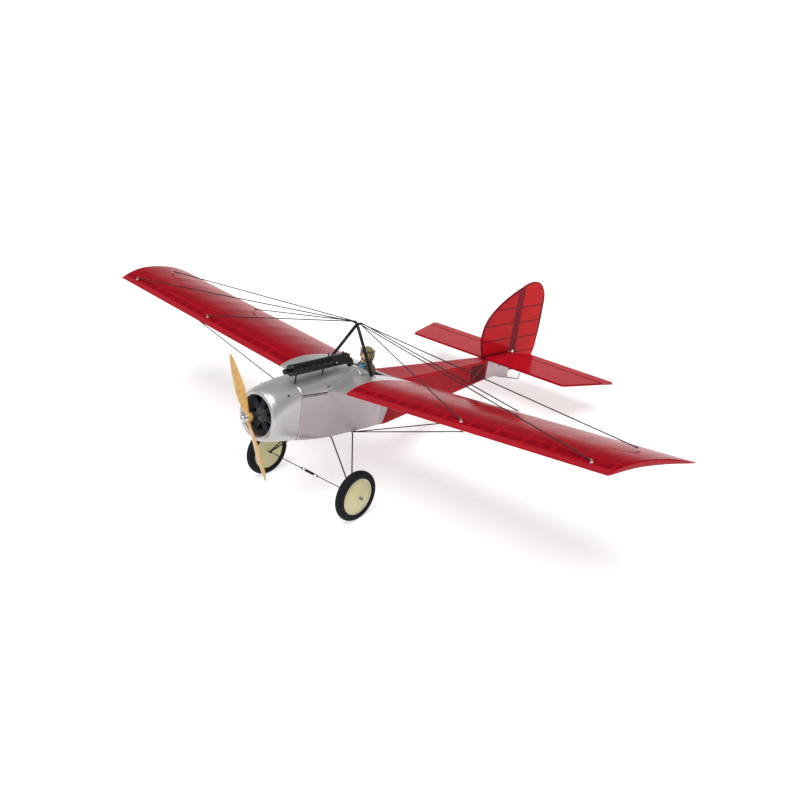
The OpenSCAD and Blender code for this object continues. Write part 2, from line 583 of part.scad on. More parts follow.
module fin_shape() polygon(concat(curve(fin_edge, 3), [[957.5, 27.1], [823.8, 27.1]]));
rudder_edge = [[961.5, 217], [983, 224.2], [1005, 228], [1023, 228.2], [1041, 224.5],
  [1058, 214], [1074.6, 194.4], [1081, 172], [1081.6, 146], [1081.5, 97], [1077.6, 55],
  [1073, 24], [1060, 0], [1038, -17], [1008, -26.5], [961.5, -28.5]];
module rudder_shape() difference() {
  polygon(curve(rudder_edge, 3));
  translate([950, 16]) square([22, 16]);
}
stick_w = 6;
module framed(w) difference() { children(); offset(delta = -w) children(); }
tail_in = tail_t - 2 * film;
module tail_pin(z) translate([0, 0, z - 5]) cylinder(h = 10, r = 0.8, $fn = 24);
// Fixed half of a pinned hinge: two knuckles, a leaf forward (-Y), and the pin.
module hinge_fixed() {
  for (z = [-5, 2]) {
    translate([0, 0, z]) cylinder(h = 3, r = 1.5, $fn = 24);
    translate([-0.5, -7, z]) cube([1, 7, 3]);
  }
  tail_pin(0);
}
module hinge_moving() difference() {
  union() {
    translate([0, 0, -1.8]) cylinder(h = 3.6, r = 1.5, $fn = 24);
    translate([-0.5, 0, -1.8]) cube([1, 7, 3.6]);
  }
  cylinder(h = 12, r = 0.8 + fit, center = true, $fn = 24);
}
fin_ribs = [72, 114, 158];
rudder_ribs = [67.5, 112.5, 157.5];
rudder_hinge_z = [48, 94, 184];
module fin_frame() color("#8a1820") stance() {
  difference() {
    union() {
      plate_x(tail_in) framed(stick_w) fin_shape();
      plate_x(tail_in) intersection() {
        fin_shape();
        for (z = fin_ribs) translate([780, z]) square([180, 3]);
      }
    }
    for (z = rudder_hinge_z) translate([-0.6, 945, z - 5.1]) cube([1.2, 13, 10.2]);
  }
  for (z = rudder_hinge_z) translate([0, rudder_axis_y, z]) hinge_fixed();
}
module fin_covering() color("#c01828") stance() for (s = [-1, 1])
  plate_x(film, s * (tail_t - film) / 2) fin_shape();
module rudder_frame() color("#8a1820") stance() {
  difference() {
    union() {
      plate_x(tail_in) framed(stick_w) rudder_shape();
      plate_x(tail_in) intersection() {
        rudder_shape();
        for (z = rudder_ribs) translate([955, z]) square([140, 3]);
      }
    }
    for (z = rudder_hinge_z) translate([-0.6, 955, z - 1.9]) cube([1.2, 14, 3.8]);
  }
  for (z = rudder_hinge_z) translate([0, rudder_axis_y, z]) hinge_moving();
  difference() {
    translate([0, 0, -0.8]) linear_extrude(1.6) polygon([[tail_t / 2, 962], [tail_t / 2, 974],
      [arm_r + 2, 961], [arm_r + 2, 957.5], [arm_r - 2, 957.5]]);
    translate([arm_r, rudder_axis_y, 0]) cylinder(h = 6, r = 1, center = true, $fn = 24);
  }
}
module rudder_covering() color("#c01828") stance() for (s = [-1, 1])
  plate_x(film, s * (tail_t - film) / 2) rudder_shape();
module flat(t, z = 0) translate([0, 0, tail_z + z - t / 2]) linear_extrude(t) children();
elev_edge_y = 957;
tail_te_y = 997;
module stab_half() polygon(concat([[0, 824], [244, 824]],
  curve([[250, 824.6], [256, 828], [262, 840]], 3), [[300, elev_axis_y - 2], [0, elev_axis_y - 2]]));
module elev_half() polygon(concat([[15.2, elev_edge_y], [301.5, elev_edge_y]],
  curve([[tail_half - 5, 981], [tail_half - 2, 991], [tail_half - 8, tail_te_y]], 3),
  [[40, tail_te_y], [17, 966]]));
elev_hinge_x = [60, 150, 250];
module stab_shape() { stab_half(); mirror([1, 0, 0]) stab_half(); }
module turned_hinge() rotate([0, 90, 0]) children();
module stabiliser_frame() color("#8a1820") stance() {
  difference() {
    union() {
      flat(tail_in) framed(stick_w) stab_shape();
      flat(tail_in) intersection() {
        stab_shape();
        for (x = [-240 : 60 : 240]) translate([x - 1.5, 820]) square([3, 140]);
      }
      flat(tail_in) translate([-20, 824]) square([40, 129]);
    }
    sides() for (x = elev_hinge_x) translate([x - 5.1, 940, tail_z - 0.6]) cube([10.2, 15, 1.2]);
  }
  sides() for (x = elev_hinge_x) translate([x, elev_axis_y, tail_z]) turned_hinge() hinge_fixed();
}
module stabiliser_covering() color("#c85060") stance() for (s = [-1, 1])
  flat(film, s * (tail_t - film) / 2) stab_shape();
module elevator_frame() color("#8a1820") stance() {
  difference() {
    sides() {
      flat(tail_in) framed(5) elev_half();
      flat(tail_in) intersection() {
        elev_half();
        for (x = [60 : 60 : 300]) translate([x - 1.5, 950]) square([3, 60]);
      }
    }
    sides() for (x = elev_hinge_x) translate([x - 1.9, 950, tail_z - 0.6]) cube([3.8, 13, 1.2]);
    rod([-45, 962, tail_z], [45, 962, tail_z], 1.5);
  }
  rod([-45, 962, tail_z], [45, 962, tail_z], 1.5);
  sides() for (x = elev_hinge_x) translate([x, elev_axis_y, tail_z]) turned_hinge() hinge_moving();
  difference() {
    slab_x(elev_arm_x - 0.8, elev_arm_x + 0.8) polygon([[957.2, tail_z - tail_in / 2],
      [970, tail_z - tail_in / 2], [958, tail_z - arm_r - 2], [953, tail_z - arm_r - 2],
      [953, tail_z - arm_r + 2]]);
    translate([elev_arm_x, elev_axis_y, tail_z - arm_r]) rotate([0, 90, 0])
      cylinder(h = 6, r = 1, center = true, $fn = 24);
  }
}
module elevator_covering() color("#c85060") stance() sides() for (s = [-1, 1])
  flat(film, s * (tail_t - film) / 2) elev_half();

// ---- controls ---------------------------------------------------------------------------
// A servo with its shaft at the origin pointing up, the arm's plane at z = 0.
module servo() {
  translate([-6, -7, -26]) cube([12, 23, 21.6]);
  translate([-6, -12, -13]) cube([12, 33, 2]);
  translate([0, 0, -4.5]) cylinder(h = 3, r = 5.6, $fn = 32);
  translate([0, 0, -2]) cylinder(h = 2.6, r = 2, $fn = 24);
}
module servo_arm() difference() {
  union() {
    translate([0, 0, -0.8]) cylinder(h = 1.6, r = 4, $fn = 32);
    translate([0, 0, -0.8]) linear_extrude(1.6) polygon([[0, -3.2], [arm_r, -2.2],
      [arm_r + 2.2, 0], [arm_r, 2.2], [0, 3.2]]);
  }
  cylinder(h = 8, r = 2 + fit, center = true, $fn = 24);
  translate([arm_r, 0, 0]) cylinder(h = 8, r = pin_r + fit, center = true, $fn = 24);
}
module rudder_linkage() translate([0, servo_y, rudder_arm_z]) children();
module elevator_linkage() translate([elev_arm_x, elev_servo_y, tail_z]) rotate([0, 90, 0])
  children();
module servos() color("#202020") stance() {
  rudder_linkage() servo();
  elevator_linkage() mirror([0, 0, 1]) servo();
}
module rudder_servo_arm() color("white") stance() rudder_linkage() servo_arm();
module elevator_servo_arm() color("white") stance() elevator_linkage() servo_arm();
rod_drop = 2.4;
module rudder_pushrod() color("#707070") stance() {
  for (y = [servo_y, rudder_axis_y]) rod([arm_r, y, -rod_drop], [arm_r, y, 1.8], pin_r);
  rod([arm_r, servo_y - 1, -rod_drop], [arm_r, rudder_axis_y + 1, -rod_drop], rod_r);
}
module elevator_pushrod() color("#707070") stance() {
  z = tail_z - arm_r;
  x = elev_arm_x + rod_drop;
  for (y = [elev_servo_y, elev_axis_y]) rod([x, y, z], [elev_arm_x - 1.8, y, z], pin_r);
  rod([x, elev_servo_y - 1, z], [x, elev_axis_y + 1, z], rod_r);
}

cowl();
cowl_screws();
dummy_engine();
motor_stator();
battery();
speed_controller();
receiver();
fuselage_formers();
tail_truss();
side_panels();
rear_covering();
cockpit_deck();
pilot_torso();
pilot_head();
pilot_helmet();
cabane_legs();
cabane_plate();
wing_left_ribs();
wing_right_ribs();
wing_left_spars();
wing_right_spars();
wing_left_covering();
wing_right_covering();
wing_root_left();
wing_root_right();
wing_joiner();
rigging_hooks();
rigging_left();
rigging_right();
gear_wire_left();
gear_wire_right();
gear_saddles();
spreader_wires();
spreader_spring();
axle_collars();
stabiliser_frame();
stabiliser_covering();
fin_frame();
fin_covering();
tail_block();
tail_skid();
servos();
propeller();
prop_nut();
motor_bell();
tyre_left();
hub_left();
tyre_right();
hub_right();
elevator_frame();
elevator_covering();
rudder_frame();
rudder_covering();
rudder_servo_arm();
elevator_servo_arm();
rudder_pushrod();
elevator_pushrod();
hatch_deck();
gun_jacket();
gun_receiver();
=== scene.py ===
"""Looks of a wire-braced monoplane model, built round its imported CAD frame.

Sizes are millimetres in the airframe frame of part.scad (origin: middle of the cowl's mouth, +X the
left wing, +Y aft, +Z up); world() stands them on the wheels and turns them to metres.
"""
import json
from math import acos, asin, atan, copysign, cos, exp, pi, radians, sin, sqrt, tan

import bmesh
import bpy
from mathutils import Matrix, Vector

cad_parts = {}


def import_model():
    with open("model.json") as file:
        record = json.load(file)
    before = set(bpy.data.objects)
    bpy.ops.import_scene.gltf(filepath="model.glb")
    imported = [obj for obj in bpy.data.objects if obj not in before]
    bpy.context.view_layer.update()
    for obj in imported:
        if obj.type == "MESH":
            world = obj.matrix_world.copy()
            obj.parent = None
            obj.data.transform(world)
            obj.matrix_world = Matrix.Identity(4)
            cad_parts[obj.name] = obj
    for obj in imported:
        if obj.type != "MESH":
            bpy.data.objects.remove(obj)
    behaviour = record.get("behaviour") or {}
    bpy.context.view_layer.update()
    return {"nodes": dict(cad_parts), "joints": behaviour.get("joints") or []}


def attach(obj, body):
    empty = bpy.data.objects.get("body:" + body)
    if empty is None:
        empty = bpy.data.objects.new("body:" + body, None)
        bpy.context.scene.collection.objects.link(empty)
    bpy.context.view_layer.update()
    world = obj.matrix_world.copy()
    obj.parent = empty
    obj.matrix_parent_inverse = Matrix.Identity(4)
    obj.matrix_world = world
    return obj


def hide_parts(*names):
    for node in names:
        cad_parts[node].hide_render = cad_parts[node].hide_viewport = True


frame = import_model()

# ---- the airframe frame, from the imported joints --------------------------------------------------
joints = {j["name"]: j for j in frame["joints"]}
aft = Vector(joints["prop_spin"]["axis"])
upward = Vector(joints["rudder_hinge"]["axis"])
across = Vector((1, 0, 0))
PROP_Y = -22
MM = 0.001
origin = Vector(joints["prop_spin"]["pos_m"]) - aft * PROP_Y * MM
stance = Matrix.Translation(origin) @ Matrix((across, aft, upward)).transposed().to_4x4()


def world(x, y, z):
    return stance @ (Vector((x, y, z)) * MM)


# ---- driving sizes, as in part.scad --------------------------------------------------------------
CHORD, CAMBER, THICK, CREST = 250, 0.062, 0.052, 0.38
DIHEDRAL, INCIDENCE = radians(5), radians(2.84)
WING_Y, WING_Z, ROOT_X, ROOT_COVER_X, PANEL_LEN = 157, 48.3, 50.3, 107, 806
TIP_LEAD, TIP_BACK, TIP_R, RIB_PITCH = 743, 201, 25, 63.5
NOSE_W = [(3, 56), (12, 58), (25, 58.5), (50, 57), (78, 55), (300, 55), (380, 50), (420, 47)]
NOSE_TOP = [(3, 56), (12, 59.5), (25, 61.5), (50, 64), (80, 66), (145, 73), (200, 79), (280, 80),
            (292, 75)]
NOSE_KEEL = [(3, 56), (12, 58.5), (25, 59.5), (50, 60), (78, 60), (120, 62.5), (190, 67),
             (380, 69.7), (420, 66.2)]
SQUARE_TOP = [(3, 2), (12, 2.15), (25, 2.4), (50, 3), (78, 4), (157, 4.1), (190, 5.1), (232, 6.2),
              (292, 6)]
SQUARE_KEEL = [(3, 2), (12, 2.15), (25, 2.4), (50, 3.2), (78, 5), (120, 12), (150, 20)]
AXLE_Y, AXLE_Z, TRACK = 185, -173.6, 149
TYRE_R, HUB_R = 59.7, 43.7
TAIL_Z = 24
GUN_X, GUN_Y, GUN_Z = 20, 66, 98
MAST_Y, GEAR_LEGS_Y, BELLY_HOOK_Y = 283, (190, 260), 268
BAY_START, BAY_PITCH = 408, 81.4


def lookup(table, y):
    """Straight-line value of a table of (place, value) at y."""
    if y <= table[0][0]:
        return table[0][1]
    for (a, va), (b, vb) in zip(table, table[1:]):
        if y <= b:
            return va + (vb - va) * (y - a) / (b - a)
    return table[-1][1]


def eased(table, y):
    """lookup() smoothed over its neighbourhood, so a lofted skin has no creases."""
    reach = 7
    return sum(lookup(table, y + d) for d in (-reach, -reach / 2, 0, reach / 2, reach)) / 5


# ---- materials -----------------------------------------------------------------------------------
def new_material(name, color, roughness, metallic=0.0, **sockets):
    """A Principled material; sockets are further values by their socket names."""
    material = bpy.data.materials.new(name)
    material.use_nodes = True
    shader = material.node_tree.nodes["Principled BSDF"]
    shader.inputs["Base Color"].default_value = (*color, 1)
    shader.inputs["Roughness"].default_value = roughness
    shader.inputs["Metallic"].default_value = metallic
    for key, value in sockets.items():
        shader.inputs[key.replace("_", " ")].default_value = value
    return material


class Nodes:
    """Short calls for building a node tree round a material's Principled shader."""

    def __init__(self, material):
        self.tree = material.node_tree
        self.shader = self.tree.nodes["Principled BSDF"]

    def add(self, kind, **settings):
        node = self.tree.nodes.new("ShaderNode" + kind)
        for key, value in settings.items():
            setattr(node, key, value)
        return node

    def link(self, a, b):
        self.tree.links.new(a, b)

    def coords(self, scale=(1, 1, 1), source="Object"):
        place = self.add("TexCoord")
        mapping = self.add("Mapping")
        mapping.inputs["Scale"].default_value = scale
        self.link(place.outputs[source], mapping.inputs["Vector"])
        return mapping.outputs["Vector"]

    def noise(self, scale, detail=3, vector=None, rough=0.5):
        node = self.add("TexNoise")
        node.inputs["Scale"].default_value = scale
        node.inputs["Detail"].default_value = detail
        node.inputs["Roughness"].default_value = rough
        self.link(vector or self.coords(), node.inputs["Vector"])
        return node.outputs["Fac"]

    def ramp(self, value, stops):
        node = self.add("ValToRGB")
        while len(node.color_ramp.elements) < len(stops):
            node.color_ramp.elements.new(0.5)
        for element, (place, color) in zip(node.color_ramp.elements, stops):
            element.position = place
            element.color = (*color, 1) if isinstance(color, tuple) else (color, color, color, 1)
        self.link(value, node.inputs["Fac"])
        return node.outputs["Color"]

    def mix(self, factor, a, b, blend="MIX"):
        node = self.add("Mix", data_type="RGBA", blend_type=blend)
        for value, socket in ((factor, 0), (a, 6), (b, 7)):
            if isinstance(value, (int, float)):
                node.inputs[socket].default_value = value
            elif isinstance(value, tuple):
                node.inputs[socket].default_value = (*value, 1)
            else:
                self.link(value, node.inputs[socket])
        return node.outputs[2]

    def math(self, operation, a, b=0.0, c=0.0):
        node = self.add("Math", operation=operation)
        for index, value in enumerate((a, b, c)):
            if isinstance(value, (int, float)):
                node.inputs[index].default_value = value
            else:
                self.link(value, node.inputs[index])
        return node.outputs[0]

    def bump(self, height, strength, distance):
        node = self.add("Bump")
        node.inputs["Strength"].default_value = strength
        node.inputs["Distance"].default_value = distance
        self.link(height, node.inputs["Height"])
        self.link(node.outputs["Normal"], self.shader.inputs["Normal"])

    def color(self, socket):
        self.link(socket, self.shader.inputs["Base Color"])

    def rough(self, value, low, high):
        node = self.add("MapRange")
        node.inputs["To Min"].default_value = low
        node.inputs["To Max"].default_value = high
        self.link(value, node.inputs["Value"])
        self.link(node.outputs[0], self.shader.inputs["Roughness"])


def silver_paint(name, color):
    material = new_material(name, color, 0.34, 0.62, Coat_Weight=0.25, Coat_Roughness=0.2)
    n = Nodes(material)
    patches = n.noise(9, 4)
    shade = tuple(c * 0.88 for c in color)
    n.color(n.mix(n.ramp(patches, [(0.35, 0.0), (0.65, 1.0)]), color, shade))
    n.rough(n.noise(35, 4), 0.27, 0.42)
    n.bump(n.noise(2600, 1), 0.05, 0.0003)
    return material


def speckled(name, color, roughness, scale, depth, **sockets):
    """Plain moulded or painted finish with small colour and gloss variation."""
    material = new_material(name, color, roughness, **sockets)
    n = Nodes(material)
    dark = tuple(c * 0.72 for c in color)
    n.color(n.mix(n.noise(scale, 5), dark, color))
    n.rough(n.noise(scale * 2.3, 3), roughness * 0.8, min(1, roughness * 1.3))
    n.bump(n.noise(scale * 9, 2), depth, 0.0005)
    return material


def metal(name, color, roughness, scale=60, stretch=(1, 1, 1)):
    material = new_material(name, color, roughness, 1.0)
    n = Nodes(material)
    lines = n.noise(scale, 5, n.coords(stretch))
    n.color(n.mix(lines, tuple(c * 0.75 for c in color), color))
    n.rough(lines, roughness * 0.7, min(1, roughness * 1.5))
    n.bump(lines, 0.12, 0.0002)
    return material


def wood(name, light, dark, stretch, scale=20, gloss=0.45, coat=0.0):
    material = new_material(name, light, gloss, Coat_Weight=coat, Coat_Roughness=0.12)
    n = Nodes(material)
    vector = n.coords(stretch)
    grain = n.noise(scale, 8, vector, 0.62)
    pores = n.noise(scale * 7, 3, vector)
    tone = n.mix(n.ramp(grain, [(0.36, 0.0), (0.64, 1.0)]), dark, light)
    n.color(n.mix(n.ramp(pores, [(0.3, 0.35), (0.42, 0.0)]), tone, tuple(c * 0.5 for c in dark)))
    n.rough(grain, gloss * 0.8, min(1, gloss * 1.25))
    n.bump(pores, 0.1, 0.0004)
    return material


BRIGHT_RED, DEEP_RED, SHADOW_RED = (0.4, 0.005, 0.014), (0.31, 0.003, 0.01), (0.12, 0.002, 0.007)


def film_base(name):
    """Iron-on film: glossy, with a few faint wrinkles in its bump."""
    material = new_material(name, BRIGHT_RED, 0.22, 0.12, Specular_IOR_Level=0.01, Coat_Weight=0.1,
                            Coat_Roughness=0.05)
    n = Nodes(material)
    wrinkle = n.noise(14, 2, n.coords((1, 3, 1)))
    n.bump(wrinkle, 0.12, 0.003)
    return material, n


def band(n, value, low, high, soft):
    """1 where value lies between low and high, with soft edges."""
    rise = n.add("MapRange", interpolation_type="SMOOTHSTEP")
    rise.inputs["From Min"].default_value = low - soft
    rise.inputs["From Max"].default_value = low + soft
    n.link(value, rise.inputs["Value"])
    fall = n.add("MapRange", interpolation_type="SMOOTHSTEP")
    fall.inputs["From Min"].default_value = high + soft
    fall.inputs["From Max"].default_value = high - soft
    n.link(value, fall.inputs["Value"])
    return n.math("MULTIPLY", rise.outputs[0], fall.outputs[0])


def wing_film(name):
    """Film over a wing: UV x runs along the span in metres, y along the chord from 0 to 1.
    Sheeted nose and ribs show bright, open bays deep, with dark slots by the spar."""
    material, n = film_base(name)
    uv = n.add("TexCoord").outputs["UV"]
    split = n.add("SeparateXYZ")
    n.link(uv, split.inputs[0])
    span, chord = split.outputs["X"], split.outputs["Y"]
    pitch = RIB_PITCH * MM
    cell = n.math("FRACT", n.math("DIVIDE", n.math("SUBTRACT", span, ROOT_COVER_X * MM), pitch))
    ribs = n.math("ADD", band(n, cell, -1, 0.035, 0.012), band(n, cell, 0.965, 2, 0.012))
    nose = band(n, chord, -1, 0.05, 0.01)
    trail = band(n, chord, 0.9, 2, 0.01)
    spar = n.math("ADD", band(n, chord, 0.14, 0.155, 0.004), band(n, chord, 0.295, 0.31, 0.005))
    wooded = n.math("MINIMUM", n.math("ADD", n.math("ADD", ribs, nose), n.math("ADD", trail, spar)),
                    1)
    tone = n.mix(wooded, DEEP_RED, BRIGHT_RED)
    half = n.math("FRACT", n.math("MULTIPLY", cell, 2))
    slots = n.math("MULTIPLY", band(n, half, 0.16, 0.84, 0.05), band(n, chord, 0.068, 0.12, 0.01))
    patchy = n.ramp(n.noise(120, 2), [(0.4, 0.25), (0.62, 1.0)])
    dark = n.math("MULTIPLY", slots, n.math("MULTIPLY", patchy, 0.65))
    gloss = n.math("ADD", n.math("MULTIPLY", nose, 0.8), 0.04)
    n.link(gloss, n.shader.inputs["Coat Weight"])
    tone = n.mix(dark, tone, SHADOW_RED)
    streaks = n.noise(30, 6, n.coords((0.5, 7, 1)))
    tone = n.mix(n.ramp(streaks, [(0.35, 0.22), (0.6, 0.0)]), tone, SHADOW_RED)
    n.color(n.mix(n.ramp(n.noise(7, 3), [(0.3, 0.18), (0.7, 0.0)]), tone, SHADOW_RED))
    return material


def tail_film(name, wood_mask, base, wood_tone):
    """Film over a flat tail surface; wood_mask(n) says where the dark frame shows through."""
    material, n = film_base(name)
    tone = n.mix(wood_mask(n), base, wood_tone)
    n.color(n.mix(n.ramp(n.noise(9, 3), [(0.3, 0.25), (0.7, 0.0)]), tone, wood_tone))
    return material


def body_film(name):
    """Film over the rear fuselage: UV x is the station in metres, y goes up the side, 0 to 1."""
    material, n = film_base(name)
    split = n.add("SeparateXYZ")
    n.link(n.add("TexCoord").outputs["UV"], split.inputs[0])
    station, up = split.outputs["X"], split.outputs["Y"]
    bay = n.math("FRACT", n.math("DIVIDE", n.math("SUBTRACT", station, BAY_START * MM),
                                   BAY_PITCH * MM))
    edges = n.math("ADD", band(n, up, -1, 0.05, 0.01), band(n, up, 0.95, 1.3, 0.01))
    posts = n.math("ADD", band(n, bay, -1, 0.03, 0.01), band(n, bay, 0.97, 2, 0.01))
    lean = n.math("ABSOLUTE", n.math("SUBTRACT", up, bay))
    sticks = n.math("ADD", posts, band(n, lean, -1, 0.05, 0.015))
    bright = n.math("MINIMUM", n.math("ADD", edges, n.math("MULTIPLY", sticks, 0.45)), 1)
    tone = n.mix(bright, DEEP_RED, BRIGHT_RED)
    # In the last open bay the film between the truss sticks goes near-black: painted shade inside the
    # fuselage.
    shaded_open_bay = n.math("MULTIPLY", band(n, station, 0.737, 0.812, 0.002),
                      band(n, up, 0.06, 0.94, 0.02))
    dark = n.math("MULTIPLY", shaded_open_bay, n.math("SUBTRACT", 1.0, n.math("MINIMUM", sticks, 1)))
    n.color(n.mix(n.math("MULTIPLY", dark, 0.85), tone, (0.045, 0.002, 0.004)))
    return material


def uv_mask(bands_x, bands_y):
    """Wood mask from the UVs: bands across and along, in metres."""
    def build(n):
        split = n.add("SeparateXYZ")
        n.link(n.add("TexCoord").outputs["UV"], split.inputs[0])
        total = 0.0
        for axis, bands in (("X", bands_x), ("Y", bands_y)):
            for low, high in bands:
                total = n.math("ADD", band(n, split.outputs[axis], low, high, 0.0008), total)
        return n.math("MINIMUM", total, 1)
    return build


def leather(name, color, scale=260):
    material = new_material(name, color, 0.42, Specular_IOR_Level=0.6)
    n = Nodes(material)
    cells = n.add("TexVoronoi", feature="DISTANCE_TO_EDGE")
    cells.inputs["Scale"].default_value = scale * 2
    n.link(n.coords(), cells.inputs["Vector"])
    n.color(n.mix(n.noise(90, 5), tuple(c * 0.45 for c in color),
                  tuple(min(1, c * 1.35) for c in color)))
    n.rough(n.noise(140, 3), 0.3, 0.6)
    n.bump(cells.outputs["Distance"], 0.35, 0.0008)
    return material


def cloth(name, color):
    material = new_material(name, color, 0.75, Sheen_Weight=0.5)
    n = Nodes(material)
    weave = n.add("TexWave")
    weave.inputs["Scale"].default_value = 900
    weave.inputs["Distortion"].default_value = 1.5
    n.link(n.coords(), weave.inputs["Vector"])
    n.color(n.mix(n.noise(160, 4), tuple(c * 0.5 for c in color), color))
    n.bump(weave.outputs["Fac"], 0.3, 0.0004)
    return material


def tyre_rubber(name):
    material = new_material(name, (0.012, 0.013, 0.016), 0.7, Specular_IOR_Level=0.12)
    n = Nodes(material)
    n.color(n.mix(n.noise(70, 5), (0.003, 0.0035, 0.004), (0.009, 0.0095, 0.011)))
    n.rough(n.noise(50, 3), 0.5, 0.78)
    n.bump(n.noise(1500, 2), 0.25, 0.0004)
    return material


M = {
    "silver": silver_paint("silver_paint", (0.5, 0.485, 0.49)),
    # A darker, mauve-tinted copy of the silver paint, for the side panels and the tail block: painted
    # shade on those sides.
    "silver_painted_shade": silver_paint("silver_painted_shade", (0.42, 0.36, 0.385)),
    "wing": wing_film("wing_film"),
    "body": body_film("body_film"),
    # Fin and rudder film is a brighter red than BRIGHT_RED on the other film: painted light shining
    # through the film.
    "fin": tail_film("fin_film", uv_mask([(0.939, 0.97), (-2, 0)], [(0.07, 0.074), (0.1135, 0.1175),
                     (0.1575, 0.1615), (0.02, 0.034)]), (0.54, 0.008, 0.012), (0.17, 0.004, 0.016)),
    "rudder": tail_film("rudder_film", uv_mask([(0.95, 0.971), (1.071, 1.1), (-2, 0)],
                        [(0.0665, 0.0705), (0.1115, 0.1155), (0.1565, 0.1605), (0.023, 0.027)]),
                        (0.56, 0.009, 0.011), (0.17, 0.004, 0.012)),
    "stab": tail_film("stab_film", uv_mask([(-2, -0.5)], [(0.946, 0.96)]), BRIGHT_RED, DEEP_RED),
    "elevator": tail_film("elevator_film", uv_mask([], [(0.95, 0.962), (-2, 0)]), BRIGHT_RED,
                          DEEP_RED),
    "lip": speckled("face_lip", (0.6, 0.25, 0.2), 0.45, 60, 0.03),
    "helmet_dark": leather("helmet_seam_leather", (0.2, 0.14, 0.04)),
    "spring": metal("spring_black", (0.03, 0.03, 0.03), 0.4, 200),
    "gun": speckled("gun_black", (0.004, 0.004, 0.005), 0.25, 90, 0.1, Specular_IOR_Level=0.35),
    "tube": speckled("mast_black", (0.004, 0.004, 0.005), 0.35, 70, 0.08, Specular_IOR_Level=0.3),
    "engine": speckled("engine_dark", (0.02, 0.024, 0.032), 0.4, 120, 0.2),
    "engine_fin": metal("engine_fin", (0.05, 0.058, 0.075), 0.38),
    "case": speckled("case_black", (0.012, 0.012, 0.014), 0.45, 80, 0.1),
    "nylon": speckled("white_nylon", (0.78, 0.78, 0.76), 0.4, 60, 0.05),
    "hook": speckled("hook_pale", (0.6, 0.42, 0.42), 0.4, 80, 0.05),
    "hub": speckled("hub_cream", (0.62, 0.57, 0.3), 0.33, 30, 0.06, Coat_Weight=0.3),
    "hub_rim": speckled("hub_rim", (0.66, 0.65, 0.52), 0.3, 30, 0.05),
    "tyre": tyre_rubber("tyre_rubber"),
    "alloy": metal("bright_alloy", (0.62, 0.62, 0.63), 0.26, 90),
    "motor": metal("motor_alloy", (0.3, 0.31, 0.34), 0.35),
    "wire": metal("spring_steel", (0.035, 0.035, 0.04), 0.4, 200),
    "balsa": wood("balsa", (0.72, 0.55, 0.35), (0.55, 0.39, 0.22), (1, 8, 8), 30),
    "red_wood": wood("red_wood", (0.36, 0.03, 0.03), (0.2, 0.012, 0.012), (8, 1, 1), 30),
    "prop": wood("prop_wood", (0.6, 0.36, 0.12), (0.42, 0.22, 0.055), (12, 12, 1.2), 14, 0.3, 0.5),
    "cord": speckled("cord_black", (0.008, 0.008, 0.009), 0.6, 200, 0.1),
    "seam": speckled("seam_shadow", (0.03, 0.012, 0.014), 0.7, 80, 0.05),
    "jacket": leather("jacket_leather", (0.13, 0.075, 0.035)),
    "helmet": leather("helmet_leather", (0.22, 0.185, 0.06)),
    "strap": leather("strap_leather", (0.06, 0.035, 0.02)),
    "skin": speckled("face_paint", (0.98, 0.7, 0.42), 0.5, 60, 0.06, Subsurface_Weight=0.1),
    "scarf": cloth("scarf_blue", (0.06, 0.3, 0.5)),
    "battery": speckled("cell_wrap", (0.03, 0.07, 0.25), 0.3, 60, 0.05),
    "eye": speckled("eye_dark", (0.05, 0.03, 0.02), 0.2, 60, 0.02),
    "glass": new_material("goggle_glass", (0.75, 0.78, 0.76), 0.06, 0.3, Coat_Weight=1.0),
    # Near-black for the cockpit, the pushrod exits and the plate behind the engine: painted shade in
    # those hollows.
    "pit": speckled("painted_shade_black", (0.015, 0.014, 0.013), 0.7, 60, 0.1),
}


# ---- mesh helpers --------------------------------------------------------------------------------
def around(count, closed=False):
    """Angles of even steps round a circle; a closed one ends on its start."""
    return [2 * pi * k / count for k in range(count + closed)]


def piece(name, verts, faces, material, body, nodes=(), smooth=True, uvs=None, merge=0.0):
    """A mesh from airframe points; uvs holds one (u, v) per point."""
    mesh = bpy.data.meshes.new(name)
    mesh.from_pydata([world(*v) for v in verts], [], faces)
    if uvs:
        layer = mesh.uv_layers.new(name="UVMap")
        for loop in mesh.loops:
            layer.data[loop.index].uv = uvs[loop.vertex_index]
    bm = bmesh.new()
    bm.from_mesh(mesh)
    if merge:
        bmesh.ops.remove_doubles(bm, verts=bm.verts, dist=merge * MM)
    bmesh.ops.recalc_face_normals(bm, faces=bm.faces)
    bm.to_mesh(mesh)
    bm.free()
    obj = bpy.data.objects.new(name, mesh)
    bpy.context.scene.collection.objects.link(obj)
    for polygon in mesh.polygons:
        polygon.use_smooth = smooth
    key = material if isinstance(material, str) else None
    mesh.materials.append(M[key] if key else material)
    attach(obj, body)
    if nodes:
        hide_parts(*nodes)
    return obj


def grid_faces(rows, columns, close_rows=False, close_columns=False):
    """Quads over a rows by columns grid of points."""
    faces = []
    for r in range(rows if close_rows else rows - 1):
        for c in range(columns if close_columns else columns - 1):
            a, b = r * columns + c, r * columns + (c + 1) % columns
            s = (r + 1) % rows * columns
            faces.append((a, b, s + (c + 1) % columns, s + c))
    return faces


def solidify(obj, thickness, offset=-1):
    modifier = obj.modifiers.new("thickness", "SOLIDIFY")
    modifier.thickness = thickness * MM
    modifier.offset = offset
    return obj


def sharpen(obj, angle=35):
    """Smooth shading with sharp edges above the angle."""
    with bpy.context.temp_override(object=obj, active_object=obj, selected_objects=[obj],
                                   selected_editable_objects=[obj]):
        bpy.ops.object.shade_smooth_by_angle(angle=radians(angle))
    return obj


